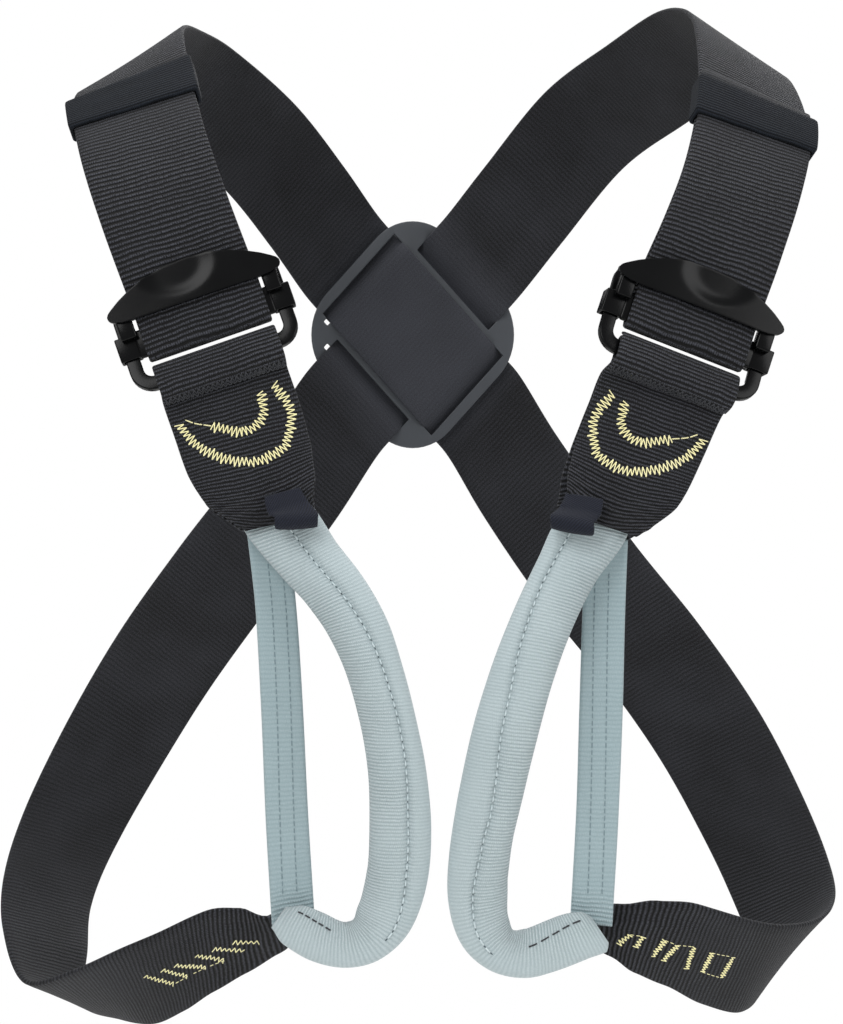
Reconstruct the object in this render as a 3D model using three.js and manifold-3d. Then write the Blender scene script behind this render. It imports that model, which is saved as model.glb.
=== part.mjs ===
import * as THREE from "three";
import { mergeVertices } from "three/addons/utils/BufferGeometryUtils.js";
import Module from "manifold-3d";

// Climbing chest harness in its worn form, held up at the shoulders.
// Lengths are in mm. X runs to the right, Y runs to the back, Z runs up.
// The origin lies midway between the shoulders, at the height of the strap tops.

// Named sizes of the worn form
const HALF_BREADTH = 145;
const HALF_DEPTH = 105;
const DROP = 345;

// Black webbing
const WEBBING_WIDTH = 45;
const WEBBING_THICKNESS = 2;
const LAYER_GAP = 0.35;
const SEAT_GAP = 0.35;

// Elastic keeper bands
const KEEPER_LENGTH = 21;
const KEEPER_WALL = 1.4;
const KEEPER_STARTS = { left: 91, right: 86 };

// Back plate
const PLATE_THICKNESS = 3;
const PLATE_BEVEL = 0.6;
const PLATE_HALF_ANGLE = 48.2;
const SLOT_WIDTH = 9;
const SLOT_ROOM = 0.9;
const SLOT_HALF_LENGTH = WEBBING_WIDTH / 2 + SLOT_ROOM;
const SLOT_BRIDGE = 1.6;
const SLOT_INNER = SLOT_HALF_LENGTH + SLOT_BRIDGE;
const PLATE_RIM = 4.5;
const PLATE_REACH = SLOT_INNER + SLOT_WIDTH + PLATE_RIM;
const PLATE_CORNER = 0.6 * PLATE_REACH;
const PLATE_HEIGHT = -101;
const PLATE_ACROSS = -0.8;

// Buckles
const BAR_HEIGHT = 10;
const BAR_THICKNESS = 2.5;
const BAR_BEVEL = 0.7;
const COLLAR_ROOM = 0.7;
const COLLAR_INNER = WEBBING_WIDTH / 2 + COLLAR_ROOM;
const COLLAR_WIDTH = 9.8;
const COLLAR_OUTER = COLLAR_INNER + COLLAR_WIDTH;
const COLLAR_HEIGHT = 10;
const COLLAR_DEPTH = 8.4;
const FRAME_BAR = 5;
const FRAME_SIDE_GAP = 2.3;
const FRAME_HALF_WIDTH = COLLAR_INNER + FRAME_SIDE_GAP + FRAME_BAR;
const FRAME_THICKNESS = 3;
const FRAME_TOP = 18;
const FRAME_BOTTOM = -17.5;
const FRAME_CORNER = 8;
const FRAME_BEVEL = 0.7;
const FRAME_TILT = 11.5;
const FRAME_SET_BACK = 2.9;
const LEVER_THICKNESS = 2.2;
const LEVER_BEVEL = 0.5;
const LEVER_BOTTOM = 8;
const LEVER_TOP = 22.6;
const LEVER_HALF_WIDTH = COLLAR_OUTER - 1.5;
const LEVER_WAIST = LEVER_HALF_WIDTH - 8;
const LEVER_SHOULDER = LEVER_BOTTOM + 2;
const LEVER_TIP = LEVER_BOTTOM + 6;
const LEVER_TIP_IN = 0.5;
const LEVER_EASE = LEVER_TOP - 2;
const BRACKET_INSET = 1;
const BRACKET_SINK = 4;
const BRACKET_TOP = LEVER_BOTTOM + 5;
const DISH_RADIUS = 60;
const DISH_SQUEEZE = 0.75;
const DISH_DEPTH = 1.2;
const DISH_ACROSS = -2;
const DISH_HEIGHT = 20;

// Grey tie-in loops
const PAD_WIDTH = 22;
const PAD_THICKNESS = 12;
const FLAT_WIDTH = 16;
const FLAT_THICKNESS = 3;

// Small dark tape loops
const TAPE_WIDTH = 18;
const TAPE_THICKNESS = 1.2;
const TAPE_ROLL = 4.2;

const DEGREE = Math.PI / 180;
const STATION_STEP = 6;
const SHORT_STEP = 5;
const TAPE_STEP = 2.4;

// Shoulder strap sections from the buckle over the shoulder and down to the gathered end.
// across, depth and height are shares of the half breadth, half depth and drop.
// turn and rise aim the width direction, spread is the share of the full webbing width.
const LEFT_SHOULDER_ROWS = [
  { across: -0.665, depth: -0.96, height: -0.205, turn: 180, rise: -17, spread: 1 },
  { across: -0.715, depth: -0.86, height: -0.142, turn: 179, rise: -16, spread: 1 },
  { across: -0.75, depth: -0.665, height: -0.083, turn: 180, rise: -19, spread: 1 },
  { across: -0.768, depth: -0.43, height: -0.038, turn: 181, rise: -27, spread: 1 },
  { across: -0.76, depth: -0.15, height: -0.015, turn: 182, rise: -36, spread: 1 },
  { across: -0.71, depth: 0.14, height: -0.012, turn: 182, rise: -43, spread: 1 },
  { across: -0.62, depth: 0.46, height: -0.022, turn: 181, rise: -47, spread: 1 },
  { across: -0.44, depth: 0.76, height: -0.077, turn: 180, rise: -48.5, spread: 1 },
  { across: -0.305, depth: 0.93, height: -0.143, turn: 180, rise: -47.5, spread: 1 },
];
const LEFT_SHOULDER_TO_SIDE_ROWS = [
  { across: 0.3, depth: 0.96, height: -0.462, turn: 180, rise: -45, spread: 1 },
  { across: 0.49, depth: 0.85, height: -0.58, turn: 174, rise: -37, spread: 1 },
  { across: 0.66, depth: 0.67, height: -0.675, turn: 167, rise: -31, spread: 1 },
  { across: 0.8, depth: 0.47, height: -0.768, turn: 161, rise: -26, spread: 1 },
  { across: 0.89, depth: 0.27, height: -0.85, turn: 153, rise: -23, spread: 1 },
  { across: 0.94, depth: 0.07, height: -0.912, turn: 145, rise: -22, spread: 1 },
  { across: 0.955, depth: -0.12, height: -0.955, turn: 136, rise: -28, spread: 1 },
  { across: 0.92, depth: -0.35, height: -0.985, turn: 124, rise: -42, spread: 1 },
  { across: 0.82, depth: -0.56, height: -0.992, turn: 114, rise: -52, spread: 1 },
  { across: 0.705, depth: -0.69, height: -0.977, turn: 112, rise: -52, spread: 0.98 },
  { across: 0.6, depth: -0.77, height: -0.957, turn: 116, rise: -54, spread: 0.86 },
  { across: 0.51, depth: -0.8, height: -0.947, turn: 125, rise: -64, spread: 0.66 },
  { across: 0.44, depth: -0.81, height: -0.94, turn: 130, rise: -72, spread: 0.45 },
  { across: 0.36, depth: -0.8, height: -0.932, turn: 135, rise: -76, spread: 0.32 },
];
const RIGHT_SHOULDER_ROWS = [
  { across: 0.685, depth: -0.96, height: -0.225, turn: 12, rise: -17, spread: 1 },
  { across: 0.742, depth: -0.87, height: -0.165, turn: 14, rise: -14, spread: 1 },
  { across: 0.79, depth: -0.69, height: -0.1, turn: 12, rise: -18, spread: 1 },
  { across: 0.81, depth: -0.42, height: -0.037, turn: 14, rise: -24, spread: 1 },
  { across: 0.805, depth: -0.12, height: 0.008, turn: 17, rise: -30, spread: 1 },
  { across: 0.745, depth: 0.2, height: 0.018, turn: 16, rise: -38, spread: 1 },
  { across: 0.63, depth: 0.52, height: -0.008, turn: 12, rise: -43, spread: 1 },
  { across: 0.475, depth: 0.8, height: -0.052, turn: 6, rise: -43, spread: 1 },
  { across: 0.31, depth: 0.94, height: -0.137, turn: 3, rise: -43, spread: 1 },
];
const RIGHT_SHOULDER_TO_SIDE_ROWS = [
  { across: -0.35, depth: 0.95, height: -0.478, turn: 8, rise: -42, spread: 1 },
  { across: -0.56, depth: 0.84, height: -0.593, turn: 14, rise: -40, spread: 1 },
  { across: -0.745, depth: 0.62, height: -0.705, turn: 22, rise: -35, spread: 1 },
  { across: -0.948, depth: 0.381, height: -0.861, turn: 34, rise: -20, spread: 1 },
  { across: -1.004, depth: 0.114, height: -0.932, turn: 43, rise: -17, spread: 1 },
  { across: -0.998, depth: -0.095, height: -0.976, turn: 48, rise: -16, spread: 1 },
  { across: -0.963, depth: -0.314, height: -1.023, turn: 64, rise: -18, spread: 1 },
  { across: -0.846, depth: -0.495, height: -1.017, turn: 68, rise: -31, spread: 1 },
  { across: -0.742, depth: -0.629, height: -1.003, turn: 70, rise: -44, spread: 1 },
  { across: -0.647, depth: -0.724, height: -0.982, turn: 78, rise: -48, spread: 0.98 },
  { across: -0.559, depth: -0.781, height: -0.960, turn: 83, rise: -54, spread: 0.86 },
  { across: -0.477, depth: -0.805, height: -0.948, turn: 80, rise: -58, spread: 0.64 },
  { across: -0.404, depth: -0.810, height: -0.942, turn: 70, rise: -48, spread: 0.42 },
  { across: -0.36, depth: -0.8, height: -0.935, turn: 84, rise: -70, spread: 0.27 },
];

// Lower webbing sections from the buckle frame to the top of the grey loop.
// part is the half distance between its two layers as a share of the webbing thickness.
const LEFT_LOWER_ROWS = [
  { across: -0.52, depth: -1.02, height: -0.38, turn: 180, rise: -18, spread: 1, part: 0.7 },
  { across: -0.49, depth: -1.025, height: -0.417, turn: 180, rise: -16, spread: 1, part: 0.75 },
  { across: -0.464, depth: -1.03, height: -0.452, turn: 180, rise: -16, spread: 0.98, part: 1.1 },
  { across: -0.437, depth: -1.03, height: -0.482, turn: 180, rise: -17, spread: 0.88, part: 2 },
  { across: -0.407, depth: -1.03, height: -0.508, turn: 180, rise: -14, spread: 0.66, part: 2.8 },
];
const RIGHT_LOWER_ROWS = [
  { across: 0.532, depth: -1.02, height: -0.387, turn: 3, rise: -20, spread: 1, part: 0.7 },
  { across: 0.496, depth: -1.025, height: -0.421, turn: 1, rise: -20, spread: 0.98, part: 0.75 },
  { across: 0.463, depth: -1.03, height: -0.453, turn: 0, rise: -19, spread: 0.96, part: 1.1 },
  { across: 0.431, depth: -1.03, height: -0.483, turn: 0, rise: -19, spread: 0.9, part: 2 },
  { across: 0.39, depth: -1.03, height: -0.511, turn: 0, rise: -19, spread: 0.7, part: 2.8 },
];

// Places of the small tape loops
const TAPE_PLACES = {
  left: { across: -0.368, depth: -1.128, height: -0.504, turn: 0, rise: 3 },
  right: { across: 0.335, depth: -1.128, height: -0.509, turn: 0, rise: -10 },
};

// Padded loop sections. width and thick are shares of the pad's width and thickness.
const LEFT_PAD_ROWS = [
  { across: -0.425, depth: -1.03, height: -0.487, turn: 0, rise: 14, width: 0.9, thick: 0.5 },
  { across: -0.39, depth: -1.03, height: -0.515, turn: 0, rise: 16, width: 1.18, thick: 0.58 },
  { across: -0.318, depth: -1.04, height: -0.556, turn: 0, rise: 27, width: 1.04, thick: 0.85 },
  { across: -0.26, depth: -1.05, height: -0.585, turn: 0, rise: 25, width: 0.99, thick: 0.95 },
  { across: -0.205, depth: -1.06, height: -0.622, turn: 0, rise: 15, width: 0.96, thick: 1 },
  { across: -0.165, depth: -1.06, height: -0.665, turn: 0, rise: 5, width: 0.91, thick: 1 },
  { across: -0.132, depth: -1.05, height: -0.717, turn: 0, rise: 0, width: 0.91, thick: 1 },
  { across: -0.11, depth: -1.04, height: -0.768, turn: 0, rise: 0, width: 0.94, thick: 1 },
  { across: -0.101, depth: -1.02, height: -0.828, turn: 0, rise: 0, width: 0.99, thick: 1 },
  { across: -0.108, depth: -0.99, height: -0.878, turn: 0, rise: -5, width: 0.98, thick: 1 },
  { across: -0.136, depth: -0.97, height: -0.918, turn: 0, rise: -22, width: 0.92, thick: 0.95 },
  { across: -0.178, depth: -0.96, height: -0.941, turn: 0, rise: -52, width: 0.76, thick: 0.9 },
  { across: -0.234, depth: -0.955, height: -0.947, turn: 0, rise: -88, width: 0.72, thick: 0.85 },
  { across: -0.298, depth: -0.95, height: -0.939, turn: 180, rise: -76, width: 0.78, thick: 0.78 },
  { across: -0.355, depth: -0.945, height: -0.927, turn: 180, rise: -62, width: 0.7, thick: 0.68 },
  { across: -0.393, depth: -0.94, height: -0.919, turn: 180, rise: -55, width: 0.4, thick: 0.4 },
];
const RIGHT_PAD_ROWS = [
  { across: 0.4, depth: -1.03, height: -0.495, turn: 180, rise: 10, width: 0.9, thick: 0.5 },
  { across: 0.356, depth: -1.03, height: -0.528, turn: 180, rise: 14, width: 1.16, thick: 0.58 },
  { across: 0.3, depth: -1.04, height: -0.567, turn: 180, rise: 20, width: 1.0, thick: 0.85 },
  { across: 0.247, depth: -1.05, height: -0.612, turn: 180, rise: 14, width: 1.0, thick: 0.95 },
  { across: 0.194, depth: -1.06, height: -0.668, turn: 180, rise: 10, width: 1.02, thick: 1 },
  { across: 0.15, depth: -1.06, height: -0.73, turn: 180, rise: 8, width: 1.04, thick: 1 },
  { across: 0.119, depth: -1.04, height: -0.789, turn: 180, rise: 6, width: 1.02, thick: 1 },
  { across: 0.095, depth: -1.01, height: -0.845, turn: 180, rise: 3, width: 0.98, thick: 1 },
  { across: 0.088, depth: -0.98, height: -0.895, turn: 180, rise: -6, width: 0.96, thick: 1 },
  { across: 0.104, depth: -0.965, height: -0.932, turn: 180, rise: -25, width: 0.86, thick: 0.95 },
  { across: 0.145, depth: -0.955, height: -0.953, turn: 180, rise: -56, width: 0.74, thick: 0.9 },
  { across: 0.208, depth: -0.95, height: -0.957, turn: 180, rise: -90, width: 0.78, thick: 0.85 },
  { across: 0.266, depth: -0.945, height: -0.95, turn: 0, rise: -82, width: 0.82, thick: 0.78 },
  { across: 0.333, depth: -0.94, height: -0.94, turn: 0, rise: -64, width: 0.74, thick: 0.68 },
  { across: 0.389, depth: -0.935, height: -0.934, turn: 0, rise: -56, width: 0.4, thick: 0.4 },
];

// Flat loop strap sections
const LEFT_FLAT_ROWS = [
  { across: -0.42, depth: -0.972, height: -0.525, turn: 180, rise: 0, spread: 0.9 },
  { across: -0.4, depth: -0.95, height: -0.6, turn: 185, rise: 0, spread: 0.9 },
  { across: -0.385, depth: -0.94, height: -0.7, turn: 190, rise: 0, spread: 0.92 },
  { across: -0.372, depth: -0.91, height: -0.82, turn: 188, rise: -3, spread: 0.94 },
  { across: -0.357, depth: -0.885, height: -0.925, turn: 180, rise: -12, spread: 0.96 },
];
const RIGHT_FLAT_ROWS = [
  { across: 0.402, depth: -0.972, height: -0.535, turn: 0, rise: 0, spread: 0.92 },
  { across: 0.396, depth: -0.95, height: -0.61, turn: 355, rise: 0, spread: 0.94 },
  { across: 0.39, depth: -0.94, height: -0.71, turn: 350, rise: 0, spread: 0.96 },
  { across: 0.383, depth: -0.91, height: -0.82, turn: 352, rise: 0, spread: 0.94 },
  { across: 0.37, depth: -0.885, height: -0.93, turn: 0, rise: -6, spread: 0.94 },
];

const vec = (x, y, z) => new THREE.Vector3(x, y, z);
const placed = (row) => vec(row.across * HALF_BREADTH, row.depth * HALF_DEPTH, row.height * DROP);
const aimed = (turn, rise) =>
  vec(
    Math.cos(turn * DEGREE) * Math.cos(rise * DEGREE),
    Math.sin(turn * DEGREE) * Math.cos(rise * DEGREE),
    Math.sin(rise * DEGREE),
  );

// A section is a centre, a unit width direction, a half width and a thickness.
const section = (centre, across, half, thick) => ({ centre, across, half, thick });

// Webbing sections of a table
const webbingSections = (rows, width, thickness) =>
  rows.map((row) => section(placed(row), aimed(row.turn, row.rise), (width * row.spread) / 2, thickness));

// Stations along a smooth run of sections: every section is kept, with more in between
function stationsOf(sections, step = STATION_STEP) {
  const centres = new THREE.CatmullRomCurve3(sections.map((s) => s.centre), false, "centripetal");
  const aims = new THREE.CatmullRomCurve3(sections.map((s) => s.across), false, "catmullrom", 0.5);
  const halfAndThick = sections.map((s) => vec(s.half, s.thick, 0));
  const sizes = new THREE.CatmullRomCurve3(halfAndThick, false, "catmullrom", 0.3);
  const last = sections.length - 1;
  const stations = [];
  for (let i = 0; i < last; i++) {
    const span = sections[i].centre.distanceTo(sections[i + 1].centre);
    const count = Math.max(1, Math.round(span / step));
    for (let k = 0; k < count; k++) {
      stations.push(stationAt((i + k / count) / last));
    }
  }
  stations.push(stationAt(1));
  return stations;

  function stationAt(t) {
    const size = sizes.getPoint(t);
    return section(centres.getPoint(t), aims.getPoint(t).normalize(), size.x, size.y);
  }
}

// Part of a run of stations, between two distances along it
function stretchOf(stations, from, to, step = STATION_STEP) {
  const reach = [0];
  for (let i = 1; i < stations.length; i++) {
    reach.push(reach[i - 1] + stations[i].centre.distanceTo(stations[i - 1].centre));
  }
  const count = Math.max(2, Math.round((to - from) / step));
  return Array.from({ length: count + 1 }, (_, k) => {
    const wanted = from + ((to - from) * k) / count;
    const i = Math.max(1, reach.findIndex((r) => r >= wanted));
    const share = (wanted - reach[i - 1]) / (reach[i] - reach[i - 1]);
    const [a, b] = [stations[i - 1], stations[i]];
    return section(
      a.centre.clone().lerp(b.centre, share),
      a.across.clone().lerp(b.across, share).normalize(),
      a.half + (b.half - a.half) * share,
      a.thick + (b.thick - a.thick) * share,
    );
  });
}

// Face normal at each station, from the run of the centre line and the width direction
function normalsOf(stations) {
  return stations.map((s, i) => {
    const before = stations[Math.max(i - 1, 0)].centre;
    const after = stations[Math.min(i + 1, stations.length - 1)].centre;
    return after.clone().sub(before).cross(s.across).normalize();
  });
}

// Closed mesh from rings of points, capped at both ends
function loft(rings) {
  const ringSize = rings[0].length;
  const points = rings.flat().flatMap((p) => [p.x, p.y, p.z]);
  const faces = [];
  for (let i = 0; i + 1 < rings.length; i++) {
    for (let j = 0; j < ringSize; j++) {
      const a = i * ringSize + j;
      const b = i * ringSize + ((j + 1) % ringSize);
      faces.push(a, b, b + ringSize, a, b + ringSize, a + ringSize);
    }
  }
  for (let j = 1; j + 1 < ringSize; j++) {
    const last = (rings.length - 1) * ringSize;
    faces.push(0, j + 1, j, last, last + j, last + j + 1);
  }
  return outward(points, faces);
}

// Mesh geometry whose faces point out
function outward(points, faces) {
  const geometry = new THREE.BufferGeometry();
  geometry.setAttribute("position", new THREE.Float32BufferAttribute(points, 3));
  let volume = 0;
  const corner = (i) => new THREE.Vector3().fromArray(points, 3 * i);
  for (let i = 0; i < faces.length; i += 3) {
    volume += corner(faces[i]).dot(corner(faces[i + 1]).cross(corner(faces[i + 2])));
  }
  if (volume < 0) {
    for (let i = 0; i < faces.length; i += 3) {
      [faces[i + 1], faces[i + 2]] = [faces[i + 2], faces[i + 1]];
    }
  }
  geometry.setIndex(faces);
  geometry.computeVertexNormals();
  return geometry;
}

// Flat webbing: four corners at each station
const RIBBON_CORNERS = [
  { side: -1, face: -1 },
  { side: 1, face: -1 },
  { side: 1, face: 1 },
  { side: -1, face: 1 },
];
function ribbon(stations) {
  const normals = normalsOf(stations);
  return loft(
    stations.map((s, i) =>
      RIBBON_CORNERS.map(({ side, face }) =>
        s.centre
          .clone()
          .addScaledVector(s.across, side * s.half)
          .addScaledVector(normals[i], (face * s.thick) / 2),
      ),
    ),
  );
}

// Padded sleeve: a rounded ring at each station
const PAD_SIDES = 12;
function sleeve(stations) {
  const normals = normalsOf(stations);
  return loft(
    stations.map((s, i) =>
      Array.from({ length: PAD_SIDES }, (_, k) => {
        const angle = (2 * Math.PI * k) / PAD_SIDES;
        return s.centre
          .clone()
          .addScaledVector(s.across, s.half * Math.cos(angle))
          .addScaledVector(normals[i], (s.thick / 2) * Math.sin(angle));
      }),
    ),
  );
}

// Band round a run of stations: an outer wall, an inner wall and two open ends
function band(stations, lift, room, wall) {
  const normals = normalsOf(stations);
  const ringAt = (s, i, grow) =>
    RIBBON_CORNERS.map(({ side, face }) =>
      s.centre
        .clone()
        .addScaledVector(normals[i], lift + face * (s.thick / 2 + room + grow))
        .addScaledVector(s.across, side * (s.half + SEAT_GAP + grow)),
    );
  const outer = stations.map((s, i) => ringAt(s, i, wall));
  const inner = stations.map((s, i) => ringAt(s, i, 0));
  const points = [...outer, ...inner].flat().flatMap((p) => [p.x, p.y, p.z]);
  const sides = RIBBON_CORNERS.length;
  const innerStart = stations.length * sides;
  const faces = [];
  for (let j = 0; j < sides; j++) {
    const next = (j + 1) % sides;
    for (let i = 0; i + 1 < stations.length; i++) {
      const a = i * sides + j;
      const b = i * sides + next;
      faces.push(a, b, b + sides, a, b + sides, a + sides);
      faces.push(innerStart + b, innerStart + a, innerStart + b + sides);
      faces.push(innerStart + a, innerStart + a + sides, innerStart + b + sides);
    }
    const end = (stations.length - 1) * sides;
    faces.push(next, j, innerStart + j, next, innerStart + j, innerStart + next);
    faces.push(end + j, end + next, end + innerStart + next);
    faces.push(end + j, end + innerStart + next, end + innerStart + j);
  }
  return outward(points, faces);
}

// Solid joins and cuts
const wasm = await Module();
wasm.setup();
function toSolid(geometry) {
  const plain = new THREE.BufferGeometry();
  plain.setAttribute("position", geometry.getAttribute("position"));
  if (geometry.index) {
    plain.setIndex(geometry.index);
  }
  const merged = mergeVertices(plain, 1e-4);
  const vertProperties = new Float32Array(merged.attributes.position.array);
  const triVerts = new Uint32Array(merged.index.array);
  return new wasm.Manifold(new wasm.Mesh({ numProp: 3, vertProperties, triVerts }));
}
function toGeometry(solid) {
  const mesh = solid.getMesh();
  const geometry = new THREE.BufferGeometry();
  geometry.setAttribute("position", new THREE.BufferAttribute(mesh.vertProperties, 3));
  geometry.setIndex(new THREE.BufferAttribute(mesh.triVerts, 1));
  const flat = geometry.toNonIndexed();
  flat.computeVertexNormals();
  return flat;
}
const joined = (pieces) => pieces.map(toSolid).reduce((whole, piece) => whole.add(piece));
const cutBy = (solid, cutters) => cutters.map(toSolid).reduce((left, cutter) => left.subtract(cutter), solid);

// Rounded outline in the XY plane of a shape, between two corners
function roundedOutline(left, bottom, right, top, radius, Outline = THREE.Shape) {
  const outline = new Outline();
  outline.moveTo(left + radius, bottom);
  outline.lineTo(right - radius, bottom);
  outline.absarc(right - radius, bottom + radius, radius, -Math.PI / 2, 0);
  outline.lineTo(right, top - radius);
  outline.absarc(right - radius, top - radius, radius, 0, Math.PI / 2);
  outline.lineTo(left + radius, top);
  outline.absarc(left + radius, top - radius, radius, Math.PI / 2, Math.PI);
  outline.lineTo(left, bottom + radius);
  outline.absarc(left + radius, bottom + radius, radius, Math.PI, 1.5 * Math.PI);
  return outline;
}

// Slab with a small bevel, centred on its own plane
function slab(shape, thickness, bevel, segments = 5) {
  const geometry = new THREE.ExtrudeGeometry(shape, {
    depth: thickness - 2 * bevel,
    bevelEnabled: bevel > 0,
    bevelThickness: bevel,
    bevelSize: bevel,
    bevelOffset: -bevel,
    bevelSegments: 1,
    curveSegments: segments,
  });
  return geometry.translate(0, 0, -thickness / 2 + bevel);
}

// Box between two corners
function boxBetween(low, high) {
  const size = high.clone().sub(low);
  const centre = high.clone().add(low).multiplyScalar(0.5);
  return new THREE.BoxGeometry(size.x, size.y, size.z).translate(centre.x, centre.y, centre.z);
}

// Back plate. Its two skewed axes follow the two webbings that cross on it.
const plateCentre = vec(PLATE_ACROSS, HALF_DEPTH, PLATE_HEIGHT);
const axisA = aimed(0, -PLATE_HALF_ANGLE);
const axisB = aimed(180, -PLATE_HALF_ANGLE);
function backPlate() {
  const outline = roundedOutline(-PLATE_REACH, -PLATE_REACH, PLATE_REACH, PLATE_REACH, PLATE_CORNER);
  const slotAt = (start, alongA) => {
    const low = Math.min(start, start + Math.sign(start) * SLOT_WIDTH);
    const high = low + SLOT_WIDTH;
    const half = SLOT_HALF_LENGTH;
    return alongA
      ? roundedOutline(low, -half, high, half, PLATE_BEVEL * 2, THREE.Path)
      : roundedOutline(-half, low, half, high, PLATE_BEVEL * 2, THREE.Path);
  };
  for (const start of [SLOT_INNER, -SLOT_INNER]) {
    outline.holes.push(slotAt(start, true), slotAt(start, false));
  }
  const geometry = slab(outline, PLATE_THICKNESS, PLATE_BEVEL);
  const skew = new THREE.Matrix4().makeBasis(axisA, axisB, vec(0, 1, 0));
  geometry.applyMatrix4(skew.setPosition(plateCentre));
  return geometry;
}

// Webbing through the plate: in front of the middle for one strap, behind it for the other.
const PASS = PLATE_THICKNESS / 2 + SEAT_GAP + WEBBING_THICKNESS / 2;
const PASS_LEAD = PLATE_REACH + 5;
const PASS_IN = SLOT_INNER + SLOT_WIDTH - 1;
const PASS_OUT = SLOT_INNER + 1;
const PASS_FLAT = SLOT_INNER - 6;
const PLATE_PASS_ROWS = [
  { along: -PASS_LEAD, side: 1 },
  { along: -PASS_IN, side: 1 },
  { along: -PASS_OUT, side: -1 },
  { along: -PASS_FLAT, side: -1 },
  { along: PASS_FLAT, side: -1 },
  { along: PASS_OUT, side: -1 },
  { along: PASS_IN, side: 1 },
  { along: PASS_LEAD, side: 1 },
];
function platePass(axis, otherAxis, frontInMiddle) {
  const half = WEBBING_WIDTH / 2 / Math.sin(2 * PLATE_HALF_ANGLE * DEGREE);
  const facing = frontInMiddle ? 1 : -1;
  return PLATE_PASS_ROWS.map((row) => {
    const centre = plateCentre.clone().addScaledVector(axis, row.along);
    centre.y += facing * row.side * PASS;
    return section(centre, otherAxis.clone(), half, WEBBING_THICKNESS);
  });
}

// Frame of each buckle: origin at the middle bar, X along the width, Y up the strap, Z out to the front
const BUCKLES = {
  left: { across: -0.569, depth: -1.01, height: -0.316, turn: 0, rise: 19.2, tip: 7 },
  right: { across: 0.596, depth: -1.01, height: -0.3235, turn: 7, rise: -20.3, tip: 7 },
};
function buckleMatrix({ turn, rise, tip, ...row }) {
  const width = aimed(turn, rise);
  const up = vec(0, 0, 1).addScaledVector(width, -width.z).normalize();
  up.applyAxisAngle(width, -tip * DEGREE);
  const out = width.clone().cross(up);
  return new THREE.Matrix4().makeBasis(width, up, out).setPosition(placed(row));
}

// Ring of the frame in its own tilted plane
const frameTilt = new THREE.Matrix4()
  .makeRotationX(-FRAME_TILT * DEGREE)
  .setPosition(0, 0, -FRAME_SET_BACK);
function buckleFrame() {
  const outline = roundedOutline(-FRAME_HALF_WIDTH, FRAME_BOTTOM, FRAME_HALF_WIDTH, FRAME_TOP, FRAME_CORNER);
  const inner = FRAME_HALF_WIDTH - FRAME_BAR;
  const low = FRAME_BOTTOM + FRAME_BAR;
  const high = FRAME_TOP - FRAME_BAR;
  outline.holes.push(roundedOutline(-inner, low, inner, high, FRAME_CORNER - FRAME_BAR, THREE.Path));
  return slab(outline, FRAME_THICKNESS, FRAME_BEVEL).applyMatrix4(frameTilt);
}

// Slide: middle bar, collars round the frame's arms and the raised thumb plate
const BACK_LAYER_ROOM = 0.3;
const LEVER_BACK = BAR_THICKNESS / 2 + 2 * SEAT_GAP + WEBBING_THICKNESS + BACK_LAYER_ROOM;
function leverOutline() {
  const shape = new THREE.Shape();
  const tip = LEVER_HALF_WIDTH - LEVER_TIP_IN;
  const middle = LEVER_HALF_WIDTH / 2;
  shape.moveTo(-LEVER_WAIST, LEVER_BOTTOM);
  shape.lineTo(LEVER_WAIST, LEVER_BOTTOM);
  shape.lineTo(LEVER_HALF_WIDTH, LEVER_SHOULDER);
  shape.lineTo(tip, LEVER_TIP);
  shape.bezierCurveTo(LEVER_WAIST, LEVER_EASE, middle, LEVER_TOP, 0, LEVER_TOP);
  shape.bezierCurveTo(-middle, LEVER_TOP, -LEVER_WAIST, LEVER_EASE, -tip, LEVER_TIP);
  shape.lineTo(-LEVER_HALF_WIDTH, LEVER_SHOULDER);
  return shape;
}
function thumbDish() {
  const dish = new THREE.SphereGeometry(DISH_RADIUS, 96, 64);
  dish.scale(1, DISH_SQUEEZE, 1);
  const face = LEVER_BACK + LEVER_THICKNESS;
  return dish.translate(DISH_ACROSS, DISH_HEIGHT, face + DISH_RADIUS - DISH_DEPTH);
}
function middleBar() {
  const reach = COLLAR_INNER + BRACKET_INSET;
  const half = BAR_HEIGHT / 2;
  const outline = roundedOutline(-reach, -half, reach, half, BAR_BEVEL * 1.5);
  return slab(outline, BAR_THICKNESS, BAR_BEVEL);
}
function buckleSlide() {
  const lever = slab(leverOutline(), LEVER_THICKNESS, LEVER_BEVEL, 10);
  lever.translate(0, 0, LEVER_BACK + LEVER_THICKNESS / 2);
  const pieces = [lever, middleBar()];
  const arms = [];
  const half = COLLAR_HEIGHT / 2;
  const back = -FRAME_SET_BACK - COLLAR_DEPTH / 2;
  for (const side of [-1, 1]) {
    const near = Math.min(side * COLLAR_INNER, side * COLLAR_OUTER);
    const far = near + COLLAR_WIDTH;
    pieces.push(boxBetween(vec(near, -half, back), vec(far, half, back + COLLAR_DEPTH)));
    const foot = vec(near + BRACKET_INSET, half - BRACKET_SINK, 0);
    const head = vec(far - BRACKET_INSET, BRACKET_TOP, LEVER_BACK + LEVER_THICKNESS / 2);
    pieces.push(boxBetween(foot, head));
    const room = new THREE.BoxGeometry(
      FRAME_BAR + 2 * SEAT_GAP,
      3 * COLLAR_HEIGHT,
      FRAME_THICKNESS + 2 * SEAT_GAP,
    );
    room.translate(side * (FRAME_HALF_WIDTH - FRAME_BAR / 2), 0, 0);
    arms.push(room.applyMatrix4(frameTilt));
  }
  return toGeometry(cutBy(joined(pieces), [...arms, thumbDish()]));
}

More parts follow.
